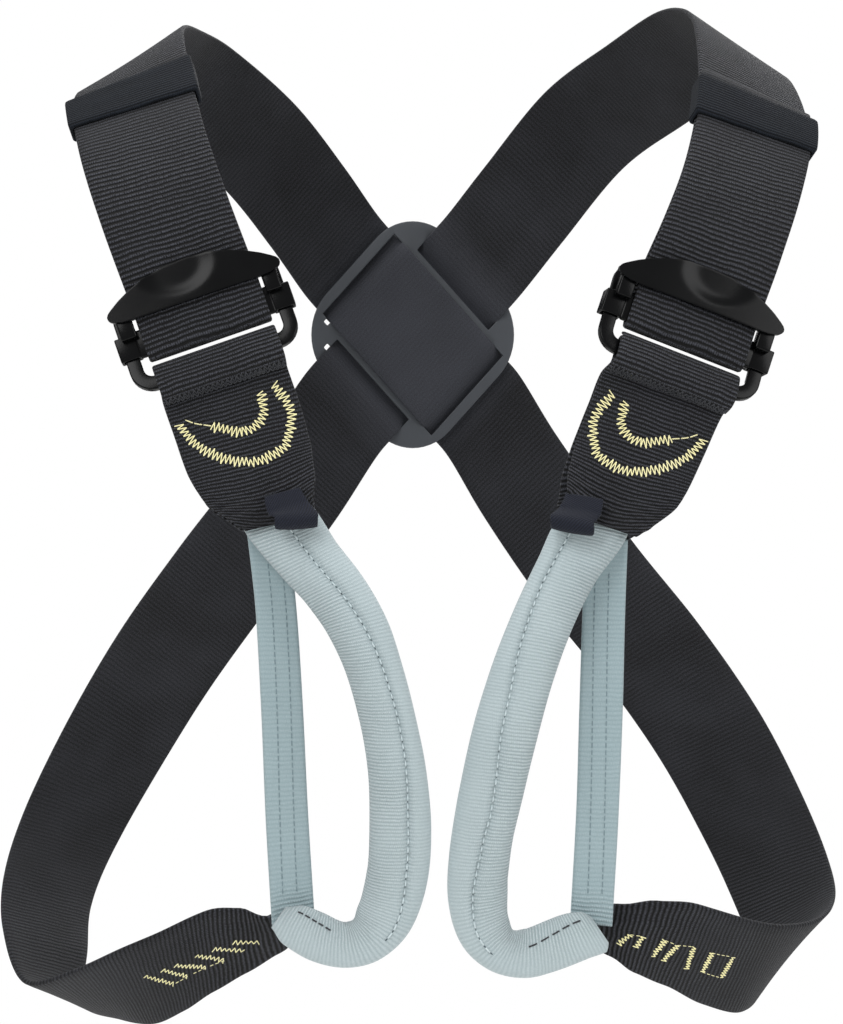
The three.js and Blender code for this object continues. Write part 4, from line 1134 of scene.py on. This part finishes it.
def plate_piece():
    flat = PLATE_THICKNESS / 2
    corner = np.array([PLATE_REACH, PLATE_REACH, flat])
    plate = box_piece("crossing_plate", -corner, corner)
    bpy.ops.mesh.select_mode(type="EDGE")
    bpy.ops.mesh.select_all(action="DESELECT")
    sheet = bmesh.from_edit_mesh(plate.data)
    for edge in sheet.edges:
        ends = [v.co for v in edge.verts]
        edge.select_set(abs(ends[0].z - ends[1].z) > flat)
    bmesh.update_edit_mesh(plate.data)
    bpy.ops.mesh.bevel(offset=PLATE_CORNER, segments=14, affect="EDGES")
    bpy.ops.object.mode_set(mode="OBJECT")
    for turn, near, far, low, high in PLATE_CUTS:
        cutter = box_piece("slot_cutter", (near, low, -3 * flat), (far, high, 3 * flat))
        bpy.ops.object.mode_set(mode="OBJECT")
        cutter.data.transform(Matrix.Rotation(turn * math.pi / 2, 4, "Z"))
        bpy.context.view_layer.objects.active = plate
        cut = plate.modifiers.new("slot", "BOOLEAN")
        cut.object = cutter
        cut.solver = "EXACT"
        bpy.ops.object.modifier_apply(modifier=cut.name)
        bpy.data.objects.remove(cutter)
    bpy.ops.object.select_all(action="DESELECT")
    plate.select_set(True)
    finish_edges(plate, PLATE_BEVEL, 4)
    skew = Matrix((axis_a, axis_b, (0, 1, 0))).transposed().to_4x4()
    skew.translation = plate_centre
    plate.data.transform(skew)
    bpy.ops.object.mode_set(mode="EDIT")
    bpy.ops.mesh.select_all(action="SELECT")
    bpy.ops.mesh.normals_make_consistent(inside=False)
    bpy.ops.object.mode_set(mode="OBJECT")
    return settle(plate, "back_plate")


plate_piece()

# %% [markdown]
# ## Threads
# The lemon zigzag on the front layers and the bars on the gathered ends hold the load, so
# they are real threads here: thin tubes that follow a path on the webbing's face. A path is
# given in the cloth's own flat coordinates and laid on the curved face point by point.

# %% Laying a thread on webbing
THREAD_SIDES = 6


def laid(run, flat_points, lift):
    """Points of (across, along) in metres on a run's face, that far above its middle plane."""
    flat_points = np.asarray(flat_points, float)
    along = run.along()
    values = (run.centre, run.across, run.normals())
    centre, width, normals = (columns_at(flat_points[:, 1], along, v) for v in values)
    half = np.interp(flat_points[:, 1], along, run.half)
    across = np.clip(flat_points[:, :1], -half[:, None], half[:, None])
    normals /= np.linalg.norm(normals, axis=1)[:, None]
    return centre + width * across + normals * lift


def tube(points, radius):
    points = np.asarray(points, float)
    ahead = np.vstack([points[1:], points[-1:]]) - np.vstack([points[:1], points[:-1]])
    ahead /= np.maximum(np.linalg.norm(ahead, axis=1), 1e-9)[:, None]
    helper = np.where(np.abs(ahead[:, 1:2]) < 0.9, [[0, 1, 0]], [[1, 0, 0]])
    first = np.cross(ahead, helper)
    first /= np.linalg.norm(first, axis=1)[:, None]
    second = np.cross(ahead, first)
    angles = np.linspace(0, 2 * math.pi, THREAD_SIDES, endpoint=False)[None, :, None]
    ring = np.cos(angles) * first[:, None] + np.sin(angles) * second[:, None]
    return lofted(points[:, None] + radius * ring)


def thread_piece(name, paths, radius):
    verts, faces, offset = [], [], 0
    for path in paths:
        v, f = tube(path, radius)
        verts.append(v)
        faces.extend([tuple(i + offset for i in face) for face in f])
        offset += len(v)
    return settle(new_piece(name, np.vstack(verts), faces), None)


def resampled(path, step):
    path = np.asarray(path, float)
    reach = path_lengths(path)
    return columns_at(np.linspace(0, reach[-1], max(2, int(reach[-1] / step) + 1)), reach, path)


UNEVENNESS = 0.22


def zigzag(path, pitch, width, seed):
    """A zigzag along a flat path, each stitch a little uneven as a machine leaves it."""
    random = np.random.default_rng(seed)
    path = resampled(path, pitch / 2)
    ahead = np.gradient(path, axis=0)
    aside = np.column_stack([-ahead[:, 1], ahead[:, 0]])
    aside /= np.linalg.norm(aside, axis=1)[:, None]
    sign = np.where(np.arange(len(path)) % 2, 1, -1)
    uneven = 1 + UNEVENNESS * random.standard_normal(len(path)).clip(-1.5, 1.5)
    return resampled(path + aside * (sign * uneven * width / 2)[:, None], pitch / 6)


def stitches(path, pitch, gap):
    """Splits a flat path into straight stitches with a gap between each two."""
    reach = path_lengths(path)
    starts = np.arange(0, reach[-1] - pitch, pitch)
    return [columns_at(np.linspace(start, start + pitch - gap, 5), reach, path) for start in starts]


# %% Half-moon seams on the lower webbing
THREAD_RADIUS = 0.21 * MM
SEAM_PITCH = 1.5 * MM
SEAM_WIDTH = 3.3 * MM
# Share of the thread's radius that stands between its middle and the cloth
THREAD_SEAT = 0.4
LINK_PITCH, LINK_GAP = 3.2 * MM, 0.5 * MM
# Columns: across the webbing, outwards from its middle, and down from the bar, in mm
SEAM_BOWL = [(19.1, 14.7), (18.1, 20.1), (13.8, 26.1), (7.2, 31.5), (0.4, 34.6), (-6.9, 34.6),
             (-13.4, 32.1), (-17.1, 26.7), (-18.4, 20.7), (-17.6, 15.3), (-15.8, 10.8)]
SEAM_INNER = [(9.1, 18.6), (4.1, 21.6), (-0.4, 24.0), (-5.4, 22.8), (-8.9, 19.8), (-10.7, 16.2),
              (-10.5, 12)]
SEAM_LINK = [(9.1, 18.6), (14.1, 16.2), (18.4, 13.2), (19.1, 14.7)]
SEAM_SHIFT = {"left": 0.0, "right": 3.2 * MM}


def smooth_path(rows):
    return curve_at(np.array(rows) * MM, np.linspace(0, 1, 80))


for side, run in lower_fronts.items():
    lift = towards_front(side, run, 0) * (WEBBING_THICKNESS / 2 + THREAD_RADIUS * THREAD_SEAT)
    shift = [0, SEAM_SHIFT[side]]
    bowl, inner, link = (smooth_path(rows) + shift for rows in (SEAM_BOWL, SEAM_INNER, SEAM_LINK))
    paths = [laid(run, zigzag(bowl, SEAM_PITCH, SEAM_WIDTH, 3), lift),
             laid(run, zigzag(inner, SEAM_PITCH, SEAM_WIDTH, 4), lift)]
    paths += [laid(run, part, lift) for part in stitches(link, LINK_PITCH, LINK_GAP)]
    thread_piece(f"{side}_half_moon_seam", paths, THREAD_RADIUS)

# %% Black stitches along the folded end
END_ROWS = (0.4 * MM, 1.9 * MM)
END_REACH = 21.5 * MM
END_PITCH, END_WIDTH, END_RADIUS = 1.7 * MM, 2.2 * MM, 0.3 * MM
END_LIFT = FLAP_THICKNESS / 2 + 0.1 * MM
for side, run in lower_flaps.items():
    lift = towards_front(side, run, -1) * END_LIFT
    paths = []
    for row, back in enumerate(END_ROWS):
        down = run.along()[-1] - back
        line = np.array([(-END_REACH, down), (END_REACH, down)])
        paths.append(laid(run, zigzag(line, END_PITCH, END_WIDTH, 11 + row), lift))
    thread_piece(f"{side}_end_stitches", paths, END_RADIUS)

# %% Bar tacks on the strap ends
# Columns, in mm: pitch, width and thread radius; one end is sewn closely, the other openly
TACK_STITCH = {"left": (1.15, 1.9, 0.2), "right": (1.9, 1.7, 0.17)}
TACK_SEAT = 0.3
TACK_LINK_RADIUS = 0.13 * MM
TACK_LINK_PITCH, TACK_LINK_GAP = 2.2 * MM, 0.9 * MM
# Columns, in mm: across and distance from the strap's end, for both ends of each tack
BAR_TACKS = {
    "right": [(-1.5, 21.7, 1.1, 12.4), (-1.6, 29.5, 3.5, 18.1), (-2.8, 36.7, 5.4, 25.6),
              (-4.0, 45.7, 5.4, 33.1), (-4.8, 51.4, 4.6, 41.5), (-5.6, 59.2, 5.0, 48.1)],
    "left": [(4.6, 13.3, -0.1, 16.6), (4.3, 19.6, -0.6, 21.4), (6.7, 27.4, -1.1, 29.5),
             (7.8, 31.9, -0.5, 34.6), (8.4, 42.1, -2.3, 41.2), (6.8, 49.0, -3.2, 49.6),
             (6.5, 58.3, -4.6, 59.5)],
}
# Columns: a tack and which of its ends, joined by a plain thread to another tack's end
TACK_LINKS = {
    "right": [(2, 1, 3, 1), (3, 1, 4, 1), (4, 1, 5, 1)],
    "left": [(0, 1, 1, 1), (2, 1, 3, 1), (3, 1, 4, 1), (5, 1, 6, 1), (5, 0, 6, 0)],
}
for side, tacks in BAR_TACKS.items():
    main = straps[side]["main"]
    length = main.along()[-1]
    lift = WEBBING_THICKNESS / 2 + ISLAND_RISE + THREAD_RADIUS * TACK_SEAT
    lift *= straps[side]["facing"]
    ends = np.array(tacks).reshape(-1, 2, 2) * MM
    ends[..., 1] = length - ends[..., 1]
    pitch, width, radius = (value * MM for value in TACK_STITCH[side])
    paths = [laid(main, zigzag(tack, pitch, width, 20 + k), lift) for k, tack in enumerate(ends)]
    thread_piece(f"{side}_bar_tacks", paths, radius)
    links = []
    for first, end_a, second, end_b in TACK_LINKS[side]:
        link = np.array([ends[first][end_a], ends[second][end_b]])
        parts = stitches(link, TACK_LINK_PITCH, TACK_LINK_GAP)
        links += [laid(main, part, lift) for part in parts]
    thread_piece(f"{side}_tack_links", links, TACK_LINK_RADIUS)

# %% Running stitches on the grey loops
STITCH_RADIUS = 0.28 * MM


def on_pad(side, run, along, share, rise):
    """Points on a pad's front face, at a share of its half width, that far above the cloth."""
    values = (run.centre, run.across, run.normals())
    centre, width, normals = (columns_at(along, run.along(), v) for v in values)
    normals *= -np.sign(normals @ np.array(look))[:, None]
    thick, half = (np.interp(along, run.along(), values) for values in (run.thick, run.half))
    leaning = np.clip(np.abs(share), 0, 1) ** (1 / SIDE_ROUNDING)
    face = np.sqrt(1 - leaning**2) ** FACE_ROUNDING * thick / 2
    off_seam = (share - seam_at(side, along)) / SEAM_HALF_WIDTH
    face = face - seam_pull(run.along()[-1], along) * np.exp(-(off_seam**2)) + rise
    return centre + width * (share * half)[:, None] + normals * face[:, None]


STITCH_SHARE = 0.66
STITCH_FROM, STITCH_BEFORE_END = 15 * MM, 40 * MM
STITCH_ARCH = 0.45 * MM
# Painted shade: short dark pieces lie in the needle dents between stitches
DENT_SHADE_RADIUS, DENT_SHADE_RISE = 0.2 * MM, 0.05 * MM
CORNER_RADIUS, CORNER_RISE = 0.3 * MM, 0.15 * MM
CORNER_POINTS, CORNER_STITCH, CORNER_PITCH = 30, 5, 6
# Columns: distance from the top in mm and share of the half width, at both ends of each seam
CORNER_SEAMS = {"left": (186.5, -0.55, 201.5, -0.7), "right": (180, -0.35, 203, -0.65)}
for side, (_, run, _) in pads.items():
    paths, marks = [], []
    for start in np.arange(STITCH_FROM, run.along()[-1] - STITCH_BEFORE_END, STITCH_PITCH):
        along = np.linspace(start, start + STITCH_PITCH * STITCH_SHARE, 7)
        arch = STITCH_ARCH * np.sin(np.linspace(0, math.pi, 7))
        paths.append(on_pad(side, run, along, seam_at(side, along), arch))
        # Painted shade: a dark piece in the dent before the next stitch
        along = np.linspace(start + STITCH_PITCH * STITCH_SHARE, start + STITCH_PITCH, 5)
        marks.append(on_pad(side, run, along, seam_at(side, along), DENT_SHADE_RISE))
    thread_piece(f"{side}_running_stitches", paths, STITCH_RADIUS)
    thread_piece(f"{side}_needle_marks", marks, DENT_SHADE_RADIUS)
    first, share_a, last, share_b = CORNER_SEAMS[side]
    along = np.linspace(first, last, CORNER_POINTS) * MM
    shares = np.linspace(share_a, share_b, CORNER_POINTS)
    cuts = [slice(k, k + CORNER_STITCH) for k in range(0, CORNER_POINTS - 4, CORNER_PITCH)]
    paths = [on_pad(side, run, along[cut], shares[cut], CORNER_RISE) for cut in cuts]
    thread_piece(f"{side}_corner_end_stitches", paths, CORNER_RADIUS)

# %% Lengthwise rows on the flat sides
# Columns: across in mm at the top and at the bottom of each row
FLAT_ROWS = [(1.2, 3.2), (-3.6, -1.8)]
ROW_FROM, ROW_BEFORE_END = 12 * MM, 8 * MM
ROW_PITCH, ROW_GAP = 2.6 * MM, 0.9 * MM
ROW_RADIUS, ROW_LIFT = 0.2 * MM, 0.02 * MM
for side, run in flats.items():
    lift = -np.sign(run.normals()[0] @ np.array(look)) * (FLAT_THICKNESS / 2 + ROW_LIFT)
    last = run.along()[-1] - ROW_BEFORE_END
    paths = []
    for top, bottom in FLAT_ROWS:
        line = np.array([(top * MM, ROW_FROM), (bottom * MM, last)])
        paths += [laid(run, part, lift) for part in stitches(line, ROW_PITCH, ROW_GAP)]
    # The rows' slate thread is darkened with painted shade
    thread_piece(f"{side}_lengthwise_stitches", paths, ROW_RADIUS)

# %% [markdown]
# ## Finishes
# Every finish is worked out from real sizes: the pitch of the ribs, the width of a yarn and
# the diagonal of a twill. Cloth patterns read the piece's own UV map, which is in metres, so
# one number per pattern is enough. Metal and plastic read Object coordinates.

# %% Colours and one node helper
def linear(hex_colour):
    values = [int(hex_colour[i:i + 2], 16) / 255 for i in (1, 3, 5)]
    return [v / 12.92 if v <= 0.04045 else ((v + 0.055) / 1.055) ** 2.4 for v in values] + [1]


def add_node(tree, kind, feeds=(), **settings):
    node = tree.nodes.new(kind)
    for name, value in settings.items():
        setattr(node, name, value)
    for socket, value in dict(feeds).items():
        if isinstance(value, bpy.types.NodeSocket):
            tree.links.new(value, node.inputs[socket])
        else:
            node.inputs[socket].default_value = value
    return node


def new_material(name, roughness, **sockets):
    material = bpy.data.materials.new(name)
    material.use_nodes = True
    tree = material.node_tree
    shader = tree.nodes["Principled BSDF"]
    shader.inputs["Roughness"].default_value = roughness
    for socket, value in sockets.items():
        shader.inputs[socket.replace("_", " ")].default_value = value
    return material, tree, shader


def maths(tree, operation, *values):
    return add_node(tree, "ShaderNodeMath", enumerate(values), operation=operation).outputs[0]


def noise(tree, place, scale, detail):
    feeds = {"Vector": place, "Scale": scale, "Detail": detail}
    return add_node(tree, "ShaderNodeTexNoise", feeds).outputs[0]


def colour_and_relief(tree, shader, colouring, relief):
    """Joins a tone between two colours, and a height with its depth in metres, to a shader."""
    tone, low, high = colouring
    height, depth = relief
    feeds = {0: tone, 6: linear(low), 7: linear(high)}
    colours = add_node(tree, "ShaderNodeMix", feeds, data_type="RGBA")
    bump = add_node(tree, "ShaderNodeBump", {"Height": height, "Distance": depth, "Strength": 1})
    tree.links.new(colours.outputs[2], shader.inputs["Base Color"])
    tree.links.new(bump.outputs[0], shader.inputs["Normal"])


# %% Woven cloth
# Mean height of the broken ribs, the relief below which webbing counts as pressed flat,
# and how much lighter its painted sheen makes it for each unit of relief below that
MEAN_RIB = 0.385
PRESSED_BELOW, PAINTED_SHEEN_PER_RELIEF = 0.1, 7.0


def woven(name, low, high, rib, yarn, depth, roughness=0.85, sheen=0.05, specular=0.3,
          slant=0.0, base=0.3, contrast=1.0, speckle=0.6):
    """Ribbed cloth: ribs across the length at one pitch, broken into yarns at another."""
    material, tree, shader = new_material(name, roughness, Sheen_Weight=sheen, Sheen_Roughness=0.5,
                                          Specular_IOR_Level=specular)
    uv = add_node(tree, "ShaderNodeUVMap", uv_map="cloth").outputs[0]
    split = add_node(tree, "ShaderNodeSeparateXYZ", {0: uv}).outputs
    across, along = split[0], split[1]
    drift = noise(tree, uv, 70, 3)
    # Ribs wander by up to a third of their pitch, as hand-tensioned webbing does
    wander = maths(tree, "MULTIPLY", maths(tree, "SUBTRACT", drift, 0.5), rib * 1.1)
    leaning = maths(tree, "MULTIPLY_ADD", across, slant, maths(tree, "ADD", along, wander))
    turn = maths(tree, "MULTIPLY", leaning, 2 * math.pi / rib)
    wave = maths(tree, "MULTIPLY_ADD", maths(tree, "SINE", turn), 0.5, 0.5)
    ridge = maths(tree, "POWER", wave, 0.8)
    row = maths(tree, "FLOOR", maths(tree, "DIVIDE", leaning, rib))
    shift = maths(tree, "MULTIPLY", row, math.pi)
    yarns = maths(tree, "SINE", maths(tree, "MULTIPLY_ADD", across, 2 * math.pi / yarn, shift))
    # No two yarns are packed alike, so a noise as fine as a yarn breaks the ribs up further
    strand = noise(tree, uv, 1 / yarn, 2)
    packing = maths(tree, "MULTIPLY_ADD", strand, 1.1, 0.15)
    broken = maths(tree, "MULTIPLY", ridge, maths(tree, "MULTIPLY_ADD", yarns, 0.18, packing))
    fibre = noise(tree, uv, 2200, 3)
    # Each piece says how deep its ribs stand, and some patches are worn flatter than others
    given = add_node(tree, "ShaderNodeAttribute", attribute_name="relief").outputs["Fac"]
    patch = noise(tree, uv, 48, 4)
    worn = maths(tree, "MULTIPLY_ADD", patch, 1.5, 0.25)
    relief = maths(tree, "MULTIPLY", given, worn)
    # Painted sheen: webbing that is pressed flat, as over the plate, is painted lighter where it
    # catches more light
    pressed = maths(tree, "MAXIMUM", maths(tree, "SUBTRACT", PRESSED_BELOW, given), 0)
    height = maths(tree, "MULTIPLY_ADD", broken, relief, maths(tree, "MULTIPLY", fibre, 0.35))
    mottle = noise(tree, uv, 35, 3)
    # Painted light and shade: rib tops are painted lighter than the valleys between them
    swing = maths(tree, "MULTIPLY", maths(tree, "MINIMUM", relief, 1.3), contrast)
    painted_rib_shade = maths(tree, "MULTIPLY", maths(tree, "SUBTRACT", broken, MEAN_RIB), swing)
    tone = maths(tree, "ADD", maths(tree, "MULTIPLY_ADD", mottle, 0.3, base), painted_rib_shade)
    tone = maths(tree, "MULTIPLY_ADD", maths(tree, "SUBTRACT", fibre, 0.5), speckle, tone)
    # Painted sheen on webbing pressed flat
    tone = maths(tree, "MULTIPLY_ADD", pressed, PAINTED_SHEEN_PER_RELIEF, tone)
    colour_and_relief(tree, shader, (tone, low, high), (height, depth))
    return material


# Solution-dyed polyamide webbing: dull black with a faint sheen, its ribs 1.75 mm apart
black_webbing = woven("ribbed_polyamide_webbing", "#040405", "#4a4c54", 1.75 * MM, 0.85 * MM,
                      0.75 * MM, base=0.02, contrast=1.6, speckle=0.9)
# The short lower lengths are a tighter weave: ribs 1.45 mm apart
tight_webbing = woven("tight_polyamide_webbing", "#040405", "#4a4c54", 1.45 * MM, 0.8 * MM,
                      0.7 * MM, base=0.04, contrast=1.6, speckle=1.1)
# Woven elastic: finer ribs and a smoother face with a blue cast
elastic = woven("woven_elastic", "#040507", "#20252d", 1.3 * MM, 0.8 * MM, 0.3 * MM,
                sheen=0.02, specular=0.15)
# Tubular polyester webbing drawn over padding: pale ribs 1.23 mm apart
sleeve_cloth = woven("ribbed_polyester_sleeve", "#92a2a6", "#c4d0d3", 1.23 * MM, 0.7 * MM,
                     0.32 * MM, roughness=0.75, sheen=0.2, specular=0.5)
# Flat polyester webbing: flatter ribs 1.6 mm apart
flat_cloth = woven("flat_polyester_webbing", "#82969b", "#a9bbc0", 1.6 * MM, 0.9 * MM,
                   0.3 * MM, roughness=0.75, sheen=0.2, specular=0.5)
# Cotton-rich twill tape: its diagonals are 1.1 mm apart
twill = woven("navy_twill_tape", "#0c0e16", "#1d2232", 1.1 * MM, 0.6 * MM, 0.2 * MM, slant=1.0)
print("cloth finishes", 6)

# %% Metal, plastic and thread
ROUGHNESS_SPREAD = 0.16


def plain_finish(name, low, high, roughness, grain_mm, depth, **sockets):
    """A near-even finish whose fine grain shows as a slight unevenness in tone and relief."""
    material, tree, shader = new_material(name, roughness, **sockets)
    place = add_node(tree, "ShaderNodeTexCoord").outputs["Object"]
    grain = noise(tree, place, 1 / (grain_mm * MM), 3)
    clouds = noise(tree, place, 45, 2)
    tone = maths(tree, "MULTIPLY_ADD", grain, 0.4, maths(tree, "MULTIPLY", clouds, 0.6))
    uneven = maths(tree, "MULTIPLY_ADD", clouds, ROUGHNESS_SPREAD, roughness - ROUGHNESS_SPREAD / 2)
    tree.links.new(uneven, shader.inputs["Roughness"])
    colour_and_relief(tree, shader, (tone, low, high), (grain, depth))
    return material


# Baked black enamel on stamped steel: even, satin, bright along its rounded edges
enamel = plain_finish("baked_black_enamel", "#030304", "#070809", 0.24, 0.5, 0.012 * MM,
                      IOR=1.5, Specular_IOR_Level=0.16)
# Moulded glass-filled polyamide: charcoal, with the faint grain of the mould
moulded = plain_finish("moulded_polyamide", "#34373c", "#43474d", 0.5, 0.7, 0.03 * MM, IOR=1.53)
# Bonded polyester thread: pale lemon, with the twist of its plies
lemon = plain_finish("lemon_polyester_thread", "#efe59a", "#fffbd0", 0.6, 0.5, 0.05 * MM,
                     Sheen_Weight=0.2)
pale_thread = plain_finish("pale_polyester_thread", "#b9c8cc", "#d9e4e6", 0.6, 0.5, 0.05 * MM)
# The lengthwise rows have slate thread darkened with painted shade, the needle dents get dark
# thread as painted shade, and the folded end has black thread
slate_with_painted_shade = plain_finish("slate_polyester_thread", "#6c8086", "#84979c", 0.7, 0.5, 0.05 * MM)
# Painted shade: dark thread pieces stand for the shade in the needle dents
shadowed_thread = plain_finish("sunken_polyester_thread", "#3c4a50", "#56666c", 0.8, 0.5, 0.05 * MM)
black_thread = plain_finish("black_polyester_thread", "#0c0d10", "#3a3c42", 0.7, 0.5, 0.05 * MM)

FINISHES = {
    "_strap": black_webbing,
    "_lower_strap": tight_webbing,
    "_elastic_keeper": elastic,
    "_padded_tube": sleeve_cloth,
    "_flat_side": flat_cloth,
    "_rolled_tape": twill,
    "_frame_ring": enamel,
    "_slide": enamel,
    "crossing_plate": moulded,
    "_webbing_end": tight_webbing,
    "_half_moon_seam": lemon,
    "_bar_tacks": lemon,
    "_tack_links": lemon,
    "_needle_marks": shadowed_thread,
    "_running_stitches": pale_thread,
    "_lengthwise_stitches": slate_with_painted_shade,
    "_end_stitches": black_thread,
}
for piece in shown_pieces():
    for ending, material in FINISHES.items():
        if piece.name.endswith(ending):
            piece.data.materials.clear()
            piece.data.materials.append(material)

# %% [markdown]
# ## Floor and light
# The picture is a plain studio shot on white. A pale floor lies well below the harness, and
# large soft panels light it from the front, the sides and behind, so the black webbing keeps
# its ribs and the enamel gets long soft highlights.

# %% Floor
bpy.ops.object.select_all(action="DESELECT")
bpy.ops.mesh.primitive_plane_add(size=1.6, location=(0, 0, -0.62))
floor = bpy.context.active_object
floor.name = "studio_floor"
bpy.ops.object.transform_apply(location=True, rotation=True, scale=True)
paper = plain_finish("white_studio_paper", "#f2f2f0", "#fbfbfa", 0.9, 2.0, 0.01 * MM)
floor.data.materials.append(paper)

# %% Lights
# Columns: name, place in metres, panel size in metres, watts
PANELS = [
    ("left_front_panel", (-0.9, -1.3, 0.7), 1.0, 16),
    ("right_front_panel", (1.2, -1.0, 0.3), 0.9, 9),
    ("top_panel", (0.0, 0.1, 1.2), 1.0, 14),
    ("back_panel", (0.4, 1.3, 0.5), 1.0, 10),
]
harness_middle = Vector((0, 0, -0.17))
for name, place, size, watts in PANELS:
    data = bpy.data.lights.new(name, "AREA")
    data.size = size
    data.energy = watts
    panel = bpy.data.objects.new(name, data)
    panel.location = place
    panel.rotation_euler = (harness_middle - Vector(place)).to_track_quat("-Z", "Y").to_euler()
    bpy.context.scene.collection.objects.link(panel)

world = bpy.data.worlds.new("studio")
world.use_nodes = True
bpy.context.scene.world = world
tree = world.node_tree
backdrop = tree.nodes["Background"]
backdrop.inputs["Color"].default_value = (1, 1, 1, 1)
seen = add_node(tree, "ShaderNodeLightPath").outputs["Is Camera Ray"]
# The sky lights at less than half strength, yet shows white to the camera
SKY = 0.45
strength = maths(tree, "MULTIPLY_ADD", seen, 1 - SKY, SKY)
tree.links.new(strength, backdrop.inputs["Strength"])
bpy.context.scene.view_settings.view_transform = "Standard"
print("panels", len(PANELS))
